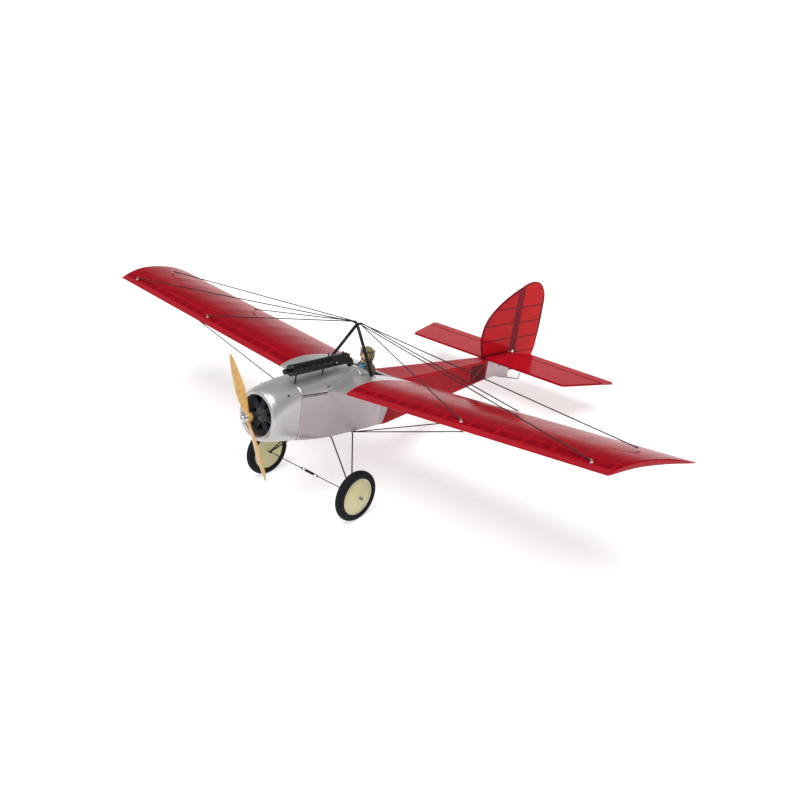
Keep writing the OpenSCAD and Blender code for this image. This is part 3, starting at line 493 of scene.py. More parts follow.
def bevel(obj, width, segments=2, angle=35):
    modifier = obj.modifiers.new("bevel", "BEVEL")
    modifier.width = width * MM
    modifier.segments = segments
    modifier.limit_method = "ANGLE"
    modifier.angle_limit = radians(angle)
    return obj


def frame_along(a, b):
    """Two unit vectors across the line from a to b."""
    line = (Vector(b) - Vector(a)).normalized()
    side = line.cross(Vector((0, 0, 1)) if abs(line.z) < 0.9 else Vector((1, 0, 0))).normalized()
    return side, line.cross(side)


def tube_points(path, radius, sides=12):
    """Rings of a round tube along a path; radius is a number or one per point."""
    rings = []
    side, over = frame_along(path[0], path[1])
    for i, p in enumerate(path):
        line = Vector(path[min(i + 1, len(path) - 1)]) - Vector(path[max(i - 1, 0)])
        line.normalize()
        side = (side - line * side.dot(line)).normalized()
        over = line.cross(side)
        r = radius[i] if isinstance(radius, (list, tuple)) else radius
        rings += [tuple(Vector(p) + r * (side * cos(a) + over * sin(a)))
                  for a in around(sides)]
    return rings


class Build:
    """Collects several shapes into one piece's points and faces."""

    def __init__(self):
        self.verts, self.faces = [], []

    def add(self, verts, faces):
        base = len(self.verts)
        self.verts += [tuple(v) for v in verts]
        self.faces += [tuple(base + i for i in f) for f in faces]

    def tube(self, path, radius, sides=12):
        rings = len(path)
        faces = grid_faces(rings, sides, close_columns=True)
        faces += [tuple(range(sides))[::-1], tuple((rings - 1) * sides + k for k in range(sides))]
        self.add(tube_points(path, radius, sides), faces)

    def moved(self, centre, scale, shift):
        """Sizes everything so far about a point, then shifts it."""
        centre, shift = Vector(centre), Vector(shift)
        self.verts = [tuple(centre + (Vector(v) - centre) * scale + shift) for v in self.verts]
        return self

    def turn(self, a, b, profile, sides=48, ring=False):
        """A turned shape along the line a to b; profile is (distance, radius) pairs in mm.
        A ring is closed on itself; anything else gets flat ends."""
        side, over = frame_along(a, b)
        line = (Vector(b) - Vector(a)).normalized()
        verts = [Vector(a) + line * d + r * (side * cos(t) + over * sin(t))
                 for d, r in profile for t in around(sides)]
        faces = grid_faces(len(profile), sides, ring, True)
        count = len(profile)
        if profile[0][1] > 1e-6 and not ring:
            faces.append(tuple(range(sides))[::-1])
        if profile[-1][1] > 1e-6 and not ring:
            faces.append(tuple((count - 1) * sides + k for k in range(sides)))
        self.add(verts, faces)

    def box(self, center, size, turn=None):
        """A box; turn is a rotation matrix about its centre."""
        corners = [Vector((x * size[0], y * size[1], z * size[2])) / 2
                   for x in (-1, 1) for y in (-1, 1) for z in (-1, 1)]
        turn = turn or Matrix.Identity(3)
        self.add([Vector(center) + turn @ c for c in corners],
                 [(0, 1, 3, 2), (4, 6, 7, 5), (0, 4, 5, 1), (2, 3, 7, 6), (0, 2, 6, 4),
                  (1, 5, 7, 3)])

    def ball(self, center, radius, squash=(1, 1, 1), rows=12, columns=20):
        verts = [Vector(center) + Vector((radius * squash[0] * sin(p) * cos(t),
                                          radius * squash[1] * sin(p) * sin(t),
                                          radius * squash[2] * cos(p)))
                 for p in (pi * r / rows for r in range(rows + 1))
                 for t in around(columns)]
        self.add(verts, grid_faces(rows + 1, columns, close_columns=True))

    def plate(self, outline, thickness, axis="x", at=0.0):
        """A flat plate of an outline of two coordinates, centred at a place on its axis."""
        def put(p, s):
            h = at + s * thickness / 2
            return {"x": (h, p[0], p[1]), "y": (p[0], h, p[1]), "z": (p[0], p[1], h)}[axis]
        count = len(outline)
        verts = [put(p, -1) for p in outline] + [put(p, 1) for p in outline]
        faces = [tuple(range(count)), tuple(range(2 * count - 1, count - 1, -1))]
        faces += [(i, (i + 1) % count, count + (i + 1) % count, count + i) for i in range(count)]
        self.add(verts, faces)

    def mirrored(self):
        base = len(self.verts)
        self.verts += [(-x, y, z) for x, y, z in self.verts]
        self.faces += [tuple(base + i for i in f)[::-1] for f in self.faces]
        return self

    def make(self, name, material, nodes=(), body="airframe", smooth=True):
        return piece(name, self.verts, self.faces, material, body, nodes, smooth, None, 0.01)


def curve_through(points, steps=6):
    """Catmull-Rom curve through points of any dimension."""
    result = []
    last = len(points) - 1
    for i in range(last):
        a, b, c, d = (Vector(points[k]) for k in (max(i - 1, 0), i, i + 1, min(i + 2, last)))
        for s in range(steps):
            t = s / steps
            result.append(tuple(0.5 * (2 * b + (c - a) * t + (2 * a - 5 * b + 4 * c - d) * t * t
                                       + (3 * b - a - 3 * c + d) * t ** 3)))
    return result + [tuple(points[-1])]


# ---- nose: cowl, side panels, decks --------------------------------------------------------------
def power(v, n):
    return copysign(abs(v) ** (2 / n), v)


def nose_point(y, angle, inset=0.0):
    """A point on the nose body's skin; angle 0 is the left side, 90 the crown."""
    width = eased(NOSE_W, y) - inset
    upper = sin(angle) >= 0
    height = (eased(NOSE_TOP, y) if upper else eased(NOSE_KEEL, y)) - inset
    n = eased(SQUARE_TOP if upper else SQUARE_KEEL, y)
    return width * power(cos(angle), n), y, height * power(sin(angle), n)


def build_cowl():
    sides = 144
    angles = around(sides)
    rows = [[nose_point(y, a) for a in angles]
            for y in (78, 70, 62, 54, 46, 38, 31, 25, 20, 16, 13, 10)]
    lip = [(7.5, 57.3), (5.2, 56.6), (3.2, 55.6), (1.6, 54.1), (0.6, 52.4), (0.1, 50.6), (0.1, 49),
           (0.7, 47.4), (1.8, 46.3), (3.2, 45.8), (5, 45.9), (8, 46.8), (12, 48.6), (18, 51)]
    rows += [[(r * cos(a), y, r * sin(a)) for a in angles] for y, r in lip]
    rows += [[nose_point(y, a, 1.2 if y > 30 else 3) for a in angles] for y in (25, 40, 60, 78)]
    verts = [p for row in rows for p in row]
    sharpen(piece("cowl_shell", verts, grid_faces(len(rows), sides, True, True), "silver",
                  "airframe", ["cowl"]), 40)
    for s, name in ((1, "left"), (-1, "right")):
        screw = Build()
        axis = Vector((s * sin(pi / 4), 0, cos(pi / 4)))
        foot = Vector((s * 43.7, 47, 51.7))
        screw.turn(foot - axis * 5, foot + axis * 2,
                   [(0, 1.2), (5.2, 1.2), (5.2, 2.6), (5.8, 2.5), (6.3, 1.9), (6.5, 1.1), (6.1, 1),
                    (6.1, 0)], 24)
        screw.make("cowl_screw_" + name, "wire", ["cowl_screws"])


def seam_z(y):
    return 49 - 2.8 * (y - 78) / 70


def foil_half(c):
    return 5 * THICK * (0.2969 * sqrt(c) - 0.126 * c - 0.3516 * c ** 2 + 0.2843 * c ** 3
                        - 0.1015 * c ** 4)


def foil_mean(c):
    if c < CREST:
        return CAMBER / CREST ** 2 * (2 * CREST * c - c * c)
    return CAMBER / (1 - CREST) ** 2 * (1 - 2 * CREST + 2 * CREST * c - c * c)


def foil_z(c, side):
    return CHORD * (foil_mean(c) + side * foil_half(c))


def wing_point(x, y, z, mirror=1):
    """A point of a panel: x along the panel, y along the chord, z off the chord."""
    y1 = y * cos(INCIDENCE) + z * sin(INCIDENCE)
    z1 = -y * sin(INCIDENCE) + z * cos(INCIDENCE)
    return (mirror * (x * cos(DIHEDRAL) - z1 * sin(DIHEDRAL)), WING_Y + y1,
            WING_Z + x * sin(DIHEDRAL) + z1 * cos(DIHEDRAL))


def wing_side_z(y, side, x):
    """Height of the wing's upper or lower surface over a place near its root."""
    c = min(max((y - WING_Y) / (CHORD * cos(INCIDENCE)), 0), 1)
    return WING_Z + x * tan(DIHEDRAL) - c * CHORD * sin(INCIDENCE) + foil_z(c, side)


def side_top(y):
    """Upper edge of a side panel: the hatch seam, then the wing's underside."""
    return seam_z(min(y, 148)) if y < WING_Y else wing_side_z(min(y, 406), -1, 53.5) - 0.2


def silver_edge(z):
    """Y of the slanted edge between silver and red on the side."""
    return 386.8 + 0.395 * z


def side_skin_point(s, y):
    """s from +1 (left upper edge) round the belly to -1 (right upper edge)."""
    width, keel, n = eased(NOSE_W, y), eased(NOSE_KEEL, y), eased(SQUARE_KEEL, y)
    top = side_top(y)
    mirror = 1 if s >= 0 else -1
    a = abs(s)
    if a > 0.65:
        z = -keel * 0.55 + (top + keel * 0.55) * (a - 0.65) / 0.35
        if z > 0:
            crown, square = eased(NOSE_TOP, y), eased(SQUARE_TOP, y)
            return mirror * width * (1 - (z / crown) ** square) ** (1 / square), y, z
        return mirror * width * (1 - (-z / keel) ** n) ** (1 / n), y, z
    start = asin(0.55 ** (n / 2))
    angle = pi / 2 + (start - pi / 2) * (a / 0.65) ** 0.8
    return (mirror * width * power(cos(angle), n), y, -keel * power(sin(angle), n))


def build_side_panels():
    """Front skin of the fuselage: both sides and the belly in one sheet, round its chine."""
    columns = 72
    ys = sorted([78.5 + k * (330 - 78.5) / 42 for k in range(43)] + [156.9, 157.1])
    verts = [side_skin_point(1 - 2 * k / columns, y) for y in ys for k in range(columns + 1)]
    for k in range(columns + 1):
        p = side_skin_point(1 - 2 * k / columns, 360)
        for _ in range(4):
            p = side_skin_point(1 - 2 * k / columns, silver_edge(p[2]))
        verts.append(p)
    # The sides wear the darker copy of the silver paint: painted shade.
    obj = piece("side_skin", verts, grid_faces(len(ys) + 1, columns + 1), "silver_painted_shade", "airframe",
                ["side_panels"])
    solidify(obj, 1.2)


def hatch_edge(y):
    """Half width and height of the deck's lower edge."""
    if y < WING_Y + 0.2:
        return 55.0, seam_z(min(y, 148)) + 0.4
    return 49.9, wing_side_z(y, 1, 49.9) - 1.2


def deck_point(y, s):
    """A point over the deck; s from -1 (right edge) through the crown to 1 (left edge)."""
    top, n = eased(NOSE_TOP, y), eased(SQUARE_TOP, y)
    half, low = hatch_edge(y)
    width = max(eased(NOSE_W, y), half + 0.01)
    start = asin(min(low / top, 0.999) ** (n / 2))
    limit = acos(min(1.0, (half / width) ** (n / 2)))
    start = limit if y > WING_Y + 0.2 else max(start, limit)
    angle = start + (pi / 2 - start) * (1 - abs(s))
    x = width * power(cos(angle), n)
    return (copysign(x, s) if s else 0.0), y, top * power(sin(angle), n)


def deck_skin(name, ys, body, nodes, notch=False):
    columns = 64
    verts = []
    for y in ys:
        for k in range(columns + 1):
            s = 2 * k / columns - 1
            place = y
            if notch:
                x = deck_point(290, s)[0]
                end = min(292, 322 - sqrt(max(0, 36 ** 2 - x * x)))
                place = ys[0] + (y - ys[0]) * (end - ys[0]) / (ys[-1] - ys[0])
            verts.append(deck_point(place, s))
    obj = piece(name, verts, grid_faces(len(ys), columns + 1), "silver", body, nodes)
    solidify(obj, 1.4)


def build_seams():
    """Thin dark joint lines: round the cowl's edge, along the hatch and over the wing roots."""
    joint = Build()
    for s in (1, -1):
        joint.tube([side_skin_point(s * (1 - k / 40), 78.6) for k in range(41)], 0.35, 6)
        edge = [side_skin_point(1, 78.6 + k * 78.2 / 17) for k in range(18)]
        joint.tube([(s * (x + 0.1), y, z) for x, y, z in edge], 0.5, 6)
        chords = [(1 - cos(pi * k / 30)) / 2 for k in range(31)]
        joint.tube([wing_point(ROOT_X + 0.1, c * CHORD, foil_z(c, 1) - 0.1, s) for c in chords],
                   0.55, 6)
        joint.tube([wing_point(ROOT_X + 1, c * CHORD, foil_z(c, -1) + 0.1, s) for c in chords],
                   0.4, 6)
    joint.make("joint_lines", "seam")


def build_decks():
    deck_skin("hatch_skin", sorted([78.7 + k * 4.7 for k in range(40) if 78.7 + k * 4.7 < 262]
                                   + [157.15, 157.25, 262]), "hatch", ["hatch_deck"])
    deck_skin("cockpit_coaming", [262.4 + k * 29.6 / 10 for k in range(11)], "airframe",
              ["cockpit_deck"], True)
    strip = Build()
    strip.plate([(400, 34), (401, 36.2), (402.5, 37), (410.5, 36.3), (411, 35.4), (411, 34)], 90,
                "x")
    bevel(strip.make("rear_deck_strip", "silver", ["cockpit_deck"], smooth=False), 0.5)
    # The cockpit's lining is near-black: painted shade inside the cockpit.
    lining = Build()
    lining.plate([(-48, 293.5), (48, 293.5), (48, 399.5), (-48, 399.5)], 1.2, "z", 26)
    side = [(293.5, 25.5)] + [(y, wing_side_z(y, 1, 50) - 3) for y in range(294, 390, 6)]
    side += [(399.5, 37), (399.5, 25.5)]
    for x in (-49.4, 49.4):
        lining.plate(side, 0.7, "x", x)
    lining.plate([(x, z) for x, _, z in (deck_point(291, k / 12) for k in range(-12, 13))
                  if z > 0] + [(49, 25.5), (-49, 25.5)], 0.6, "y", 292.6)
    lining.plate([(-46, 25.5), (46, 25.5), (46, 35), (-46, 35)], 0.8, "y", 399.6)
    lining.make("cockpit_lining", "pit", smooth=False)


# ---- wings ---------------------------------------------------------------------------------------
def tip_x(y):
    """How far out a panel reaches at a place along its chord."""
    if y < TIP_BACK:
        return TIP_LEAD + (PANEL_LEN - 3 - TIP_LEAD) * y / TIP_BACK
    if y < CHORD - TIP_R:
        return PANEL_LEN - 3 + 3 * (y - TIP_BACK) / (CHORD - TIP_R - TIP_BACK)
    return PANEL_LEN - TIP_R + sqrt(max(0, TIP_R ** 2 - (y - CHORD + TIP_R) ** 2))


def film_sag(x, c):
    """How far the film dips between two ribs behind the sheeted nose."""
    cell = (x - ROOT_COVER_X) / RIB_PITCH
    if not 0 < cell < 10:
        return 0
    cell %= 1
    reach = min(1, max(0, (c - 0.3) / 0.12)) * min(1, max(0, (0.97 - c) / 0.12))
    return 4 * cell * (1 - cell) * (0.4 * reach + 0.1 * min(1, c / 0.1))


def wing_shell(name, material, nodes, mirror, x0, x1, tipped):
    """Closed shell over part of a panel, its outer end rounded over when it is the wing tip."""
    n, cap = 44, 8
    chord = [(1 - cos(pi * i / n)) / 2 for i in range(n + 1)]
    loop = [(c, 1) for c in reversed(chord)] + [(c, -1) for c in chord[1:]]
    count = max(4, round((x1 - x0) / 7))
    uvs = []
    rows = [[(x0 + (x1 - x0) * i / count, c, foil_z(c, side), side) for c, side in loop]
            for i in range(count + 1)]
    if tipped:
        for i in range(1, 9):
            rows.append([(x1 + (tip_x(c * CHORD) - 1.6 - x1) * i / 8, c, foil_z(c, side), side)
                         for c, side in loop])
    verts = []
    for row in rows:
        for x, c, z, side in row:
            z -= side * film_sag(x, c) if material == "wing" else 0
            verts.append(wing_point(x, c * CHORD, z, mirror))
            uvs.append((x * MM, c))
    columns = len(loop)
    faces = grid_faces(len(rows), columns, False, True)
    for end, row, out in ((0, rows[0], 0.0), (len(rows) - 1, rows[-1], 1.6 if tipped else 0.0)):
        steps = cap if out else 1
        grid = []
        for j in range(n + 1):
            c = chord[j]
            upper, lower = end * columns + n - j, end * columns + n + j
            line = [upper]
            for k in range(1, steps):
                t = k / steps
                z = foil_z(c, 1) * (1 - t) + foil_z(c, -1) * t
                bulge = out * (1 - abs(2 * t - 1) ** 2.6) ** 0.6
                lean = -0.28 if c * CHORD < TIP_BACK else 0.3
                verts.append(wing_point(row[n][0] if not tipped else tip_x(c * CHORD) - 1.6 + bulge,
                                        c * CHORD + bulge * lean, z, mirror))
                uvs.append((PANEL_LEN * MM, 0.05))
                line.append(len(verts) - 1)
            grid.append(line + [lower])
        for a, b in zip(grid, grid[1:]):
            faces += [(a[k], a[k + 1], b[k + 1], b[k]) for k in range(steps)]
    faces = [tuple(dict.fromkeys(f)) for f in faces]
    obj = piece(name, verts, [f for f in faces if len(f) > 2], material, "airframe", nodes,
                uvs=uvs, merge=0.02)
    return sharpen(obj, 50)


def build_wings():
    for mirror, side in ((1, "left"), (-1, "right")):
        wing_shell(f"wing_{side}_film", "wing", [f"wing_{side}_covering"], mirror, ROOT_COVER_X,
                   742, True)
        wing_shell(f"wing_{side}_root_skin", "silver", [f"wing_root_{side}"], mirror, ROOT_X,
                   ROOT_COVER_X - 0.05, False)


# ---- rear fuselage and tail ----------------------------------------------------------------------
def rear_section(y):
    """Half width, top and bottom of the rear fuselage."""
    width = 9.9 + (960 - y) * 40.1 / 580 if y > 380 else 50
    bottom = -19 - (960 - y) * 0.0874 if y > 380 else -68.6 - (y - 300) * 0.01375
    return width, 17 + (960 - y) * 0.03345, bottom


def build_rear():
    """Film over the longerons: flat sides that dip a little in every bay."""
    count, round_r = 16, 1.6
    loop = [(face, k / count if rising else 1 - k / count)
            for face, rising in (("left", True), ("top", True), ("right", False), ("belly", False))
            for k in range(count + 1)]
    verts, uvs = [], []
    rows = 90
    for i in range(rows + 1):
        for face, f in loop:
            y = 360
            for _ in range(5):
                width, top, bottom = rear_section(y)
                z = bottom + round_r + (top - bottom - 2 * round_r) * f
                if face in ("top", "belly"):
                    z = top if face == "top" else bottom
                start = 411.3 if face == "top" else silver_edge(z) + 0.4
                y = start + (820 - start) * i / rows
            bay = max(0.0, (y - BAY_START) / BAY_PITCH) % 1
            dip = 1.3 * sin(pi * bay) ** 0.8 * sin(pi * f) if BAY_START < y < 815 else 0
            if face in ("left", "right"):
                sign = 1 if face == "left" else -1
                verts.append((sign * (width - dip), y, z))
            else:
                x = (width - round_r) * (1 - 2 * f)
                verts.append((x, y, z - dip * 0.35 if face == "top" else z + dip))
            uvs.append((y * MM, f if face in ("left", "right") else 2.5))
    columns = len(loop)
    obj = piece("rear_film", verts, grid_faces(rows + 1, columns, False, True), "body", "airframe",
                ["rear_covering"], uvs=uvs)
    solidify(obj, 0.4)


def build_tail_block():
    rows = []
    for y, bottom in ((820, -31.3), (843, -30.6), (862, -30.2), (872, -31), (900, -36.5),
                      (925, -41), (948, -47.6)):
        w = 19.6 + (8 - 19.6) * (y - 820) / 128
        r = 1.2
        rows.append([(w, y, 20.8 - r), (w - r * 0.3, y, 20.8 - r * 0.3), (w - r, y, 20.8),
                     (-w + r, y, 20.8), (-w + r * 0.3, y, 20.8 - r * 0.3), (-w, y, 20.8 - r),
                     (-w, y, bottom + r), (-w + r, y, bottom), (w - r, y, bottom),
                     (w, y, bottom + r)])
    verts = [p for row in rows for p in row]
    faces = grid_faces(len(rows), 10, False, True) + [tuple(range(10)), tuple(range(69, 59, -1))]
    # The tail block wears the darker copy of the silver paint: painted shade.
    sharpen(piece("tail_block_shell", verts, faces, "silver_painted_shade", "airframe", ["tail_block"]), 40)
    # The pushrod exits are near-black boxes: painted shade in the slots.
    slot = Build()
    slot.box((11.9, 889, 1), (4.2, 30, 4.5))
    slot.box((-12.9, 882, 11.5), (4.2, 26, 4))
    slot.make("pushrod_exits", "pit", smooth=False)
    skid = Build()
    skid.tube(curve_through([(0, 900, -38.6), (0, 940, -47.1), (0, 980, -55.5), (0, 1012, -62.4),
                             (0, 1019, -63.6), (0, 1022.5, -61), (0, 1024.5, -55), (0, 1027, -48)],
                             5),
              1.25, 14)
    skid.make("tail_skid_wire", "wire", ["tail_skid"])


FIN_EDGE = [(816.5, 27.1), (812.5, 34), (802, 57), (796.5, 80), (798.5, 102), (807, 124),
            (823.5, 145), (850, 165.3), (884, 185.2), (928, 204.7), (957.5, 215.5)]
RUDDER_EDGE = [(961.5, 217), (983, 224.2), (1005, 228), (1023, 228.2), (1041, 224.5), (1058, 214),
               (1074.6, 194.4), (1081, 172), (1081.6, 146), (1081.5, 97), (1077.6, 55), (1073, 24),
               (1060, 0), (1038, -17), (1008, -26.5), (961.5, -28.5)]


def flat_surface(name, outline, axis, at, material, body, nodes):
    """A thin covered surface with a rounded rim, UVs in metres over its two flat axes.
    The rim's own UVs are negative, so that its material can darken it."""
    rim = [Vector(p) for p in outline]
    count = len(rim)
    area = sum(a.x * b.y - b.x * a.y for a, b in zip(rim, rim[1:] + rim[:1]))
    rings = []
    sizes = ((4.1, -2.97), (3, -2.97), (1.3, -2.97), (0.5, -2.5), (0.1, -1.6), (0, 0), (0.1, 1.6),
             (0.5, 2.5), (1.3, 2.97), (3, 2.97), (4.1, 2.97))
    for inset, height in sizes:
        ring = []
        for i, p in enumerate(rim):
            before, after = (p - rim[i - 1]).normalized(), (rim[(i + 1) % count] - p).normalized()
            line = (before + after).normalized()
            inward = Vector((-line.y, line.x)) * (1 if area > 0 else -1)
            turn = max(0.6, sqrt(max(0.0, (1 + before.dot(after)) / 2)))
            ring.append((p + inward * inset / turn, height, inset < 4))
        rings.append(ring)
    verts, uvs = [], []
    for ring in rings:
        for p, height, edge in ring:
            verts.append((at + height, p.x, p.y) if axis == "x" else (p.x, p.y, at + height))
            uvs.append((-1, -1) if edge else (p.x * MM, p.y * MM))
    faces = grid_faces(len(rings), count, False, True)
    faces += [tuple(range(count)), tuple(range(11 * count - 1, 10 * count - 1, -1))]
    return sharpen(piece(name, verts, faces, material, body, nodes, uvs=uvs), 10)


def build_tail():
    flat_surface("fin_film", curve_through(FIN_EDGE, 5) + [(957.5, 27.1)], "x", 0,
                 "fin", "airframe", ["fin_covering", "fin_frame"])
    rudder = curve_through(RUDDER_EDGE, 5) + [(961.5, 15.8), (972.2, 15.8), (972.2, 32.2),
                                              (961.5, 32.2)]
    flat_surface("rudder_film", rudder, "x", 0, "rudder", "rudder", ["rudder_covering"])
    half = [(0, 824), (244, 824)] + curve_through([(250, 824.6), (256, 828), (262, 840)], 5)
    half += [(300, 953)]
    stab = half + [(-x, y) for x, y in reversed(half)][:-1]
    flat_surface("stabiliser_film", stab, "z", TAIL_Z, "stab", "airframe",
                 ["stabiliser_covering", "stabiliser_frame"])
    for mirror, side in ((1, "left"), (-1, "right")):
        half = [(15.2, 957), (301.5, 957)] + curve_through([(310, 981), (313, 991), (307, 997)], 5)
        half += [(40, 997), (17, 966)]
        flat_surface(f"elevator_film_{side}", [(mirror * x, y) for x, y in half], "z", TAIL_Z,
                     "elevator", "elevator", ["elevator_covering"])
    beads = Build()
    beads.tube([(0, 959.5, 32), (0, 959.5, 214)], 1.9, 16)
    for s in (-1, 1):
        beads.tube([(s * 18, 955, TAIL_Z), (s * 299, 955, TAIL_Z)], 1.9, 16)
    beads.make("hinge_tape", "stab")
    cap = Build()
    cap.turn((2.9, 940, 30), (3.8, 940, 30), [(0, 2.6), (0.5, 2.6), (0.8, 2.1), (0.9, 0)], 24)
    cap.make("fin_bolt_cap", "hook")


# ---- propeller, nut, dummy engine ----------------------------------------------------------------
BLADE = [(0.05, 11, 8.5, 45), (0.12, 13.5, 7.2, 40), (0.2, 17, 5.8, 34), (0.34, 23, 4.3, 24),
         (0.5, 24.5, 3.4, 17), (0.68, 21, 2.8, 13), (0.85, 15, 2.2, 10.5), (0.95, 9.5, 1.6, 9.6),
         (0.985, 6, 1.2, 9.5), (0.998, 2.2, 0.7, 9.5)]
PROP_R, PROP_TURN = 140, radians(32)


def prop_place(x, y, z):
    return (x * cos(PROP_TURN) - z * sin(PROP_TURN), y + PROP_Y,
            x * sin(PROP_TURN) + z * cos(PROP_TURN))


def build_propeller():
    blades = Build()
    ring = 28
    stations = curve_through(BLADE, 5)
    for flip in (1, -1):
        verts = []
        for reach, width, thick, twist in stations:
            tw = radians(twist)
            for t in around(ring):
                u = width / 2 * copysign(abs(cos(t)) ** 0.9, cos(t))
                v = thick / 2 * sin(t) + thick * 0.3 * (1 - cos(t) ** 2)
                x = u * cos(tw) + v * sin(tw)
                y = u * sin(tw) - v * cos(tw)
                verts.append(prop_place(flip * x, y, flip * reach * PROP_R))
        faces = grid_faces(len(stations), ring, False, True)
        faces.append(tuple(range((len(stations) - 1) * ring, len(stations) * ring)))
        faces.append(tuple(range(ring)))
        blades.add(verts, faces)
    blades.turn((0, PROP_Y - 6, 0), (0, PROP_Y, 0),
                [(0, 3), (0, 9.6), (0.4, 10.3), (1.2, 10.5), (10.8, 10.5), (11.6, 10.3), (12, 9.6),
                 (12, 3)], 64)
    sharpen(blades.make("propeller_blades", "prop", ["propeller"], "propeller"), 50)
    nut = Build()
    nut.turn((0, -28, 0), (0, -60, 0),
             [(0, 3), (0, 8.7), (0.3, 9), (2.2, 9), (2.6, 8.7), (3.3, 6.8), (3.8, 6.5), (9, 6.5),
              (10.4, 6.1), (11.8, 5.1), (13.2, 3.6), (14.1, 1.9), (14.45, 0)], 64)
    nut.tube([(-6.6, -34.8, 0), (6.6, -34.8, 0)], 1.45, 20)
    sharpen(nut.make("spinner_nut", "alloy", ["prop_nut"], "propeller"), 40)


def build_engine():
    case = Build()
    case.turn((0, 12, 0), (0, 40, 0),
              [(0, 5.2), (0.2, 9), (0.8, 11), (2.4, 12), (2.6, 15.5), (3.4, 16.8), (18, 17),
               (21, 16), (21.4, 5.4)], 72)
    fins = Build()
    for k in range(7):
        a = 2 * pi * k / 7
        line = Vector((sin(a), 0, cos(a)))
        profile = [(10, 5.4)]
        for h in [16 + 2.15 * i for i in range(10)]:
            profile += [(h, 5.6), (h, 8.5), (h + 0.9, 8.6), (h + 1, 5.6)]
        profile += [(39, 5.6), (39.4, 7.4), (41, 7.6), (42.6, 6.8), (43.6, 4.6), (43.9, 0)]
        fins.turn(Vector((0, 24, 0)), Vector((0, 24, 0)) + line, profile, 28)
        over = Vector((cos(a), 0, -sin(a)))
        for side in (-1, 1):
            foot = Vector((0, 14.6, 0)) + line * 12 + over * side * 3
            case.tube([foot, foot + line * 26 + Vector((0, 3, 0)) + over * side * 1.2], 1.1, 10)
        case.ball(Vector((0, 12.4, 0)) + line * 9, 1.3, rows=6, columns=10)
        case.tube([Vector((0, 24, 0)) + line * 38 + over * 5,
                   Vector((0, 18, 0)) + line * 37 + over * 7.2], 1.3, 10)
    sharpen(case.make("engine_case", "engine", ["dummy_engine"]), 40)
    sharpen(fins.make("engine_cylinders", "engine_fin", ["dummy_engine"]), 30)
    # A near-black plate behind the engine: painted shade inside the cowl.
    back = Build()
    back.turn((0, 36, 0), (0, 60, 0), [(0, 19), (0, 45), (1, 45), (1, 19)], 64)
    back.make("engine_back_plate", "pit")


# ---- gun -----------------------------------------------------------------------------------------
GUN_PITCH = radians(-87.8)


def gun_place(x, y, z):
    """Gun frame: z along the barrel aft, y down; as gun_line() in part.scad."""
    c, s = cos(GUN_PITCH), sin(GUN_PITCH)
    return GUN_X + x, GUN_Y + y * c - z * s, GUN_Z + y * s + z * c


def gun_build(local, name, material, nodes, angle=35, width=0.0):
    shape = Build()
    shape.faces = local.faces
    shape.verts = [gun_place(*v) for v in local.verts]
    obj = shape.make(name, material, nodes, "hatch")
    if width:
        bevel(obj, width)
    return sharpen(obj, angle)


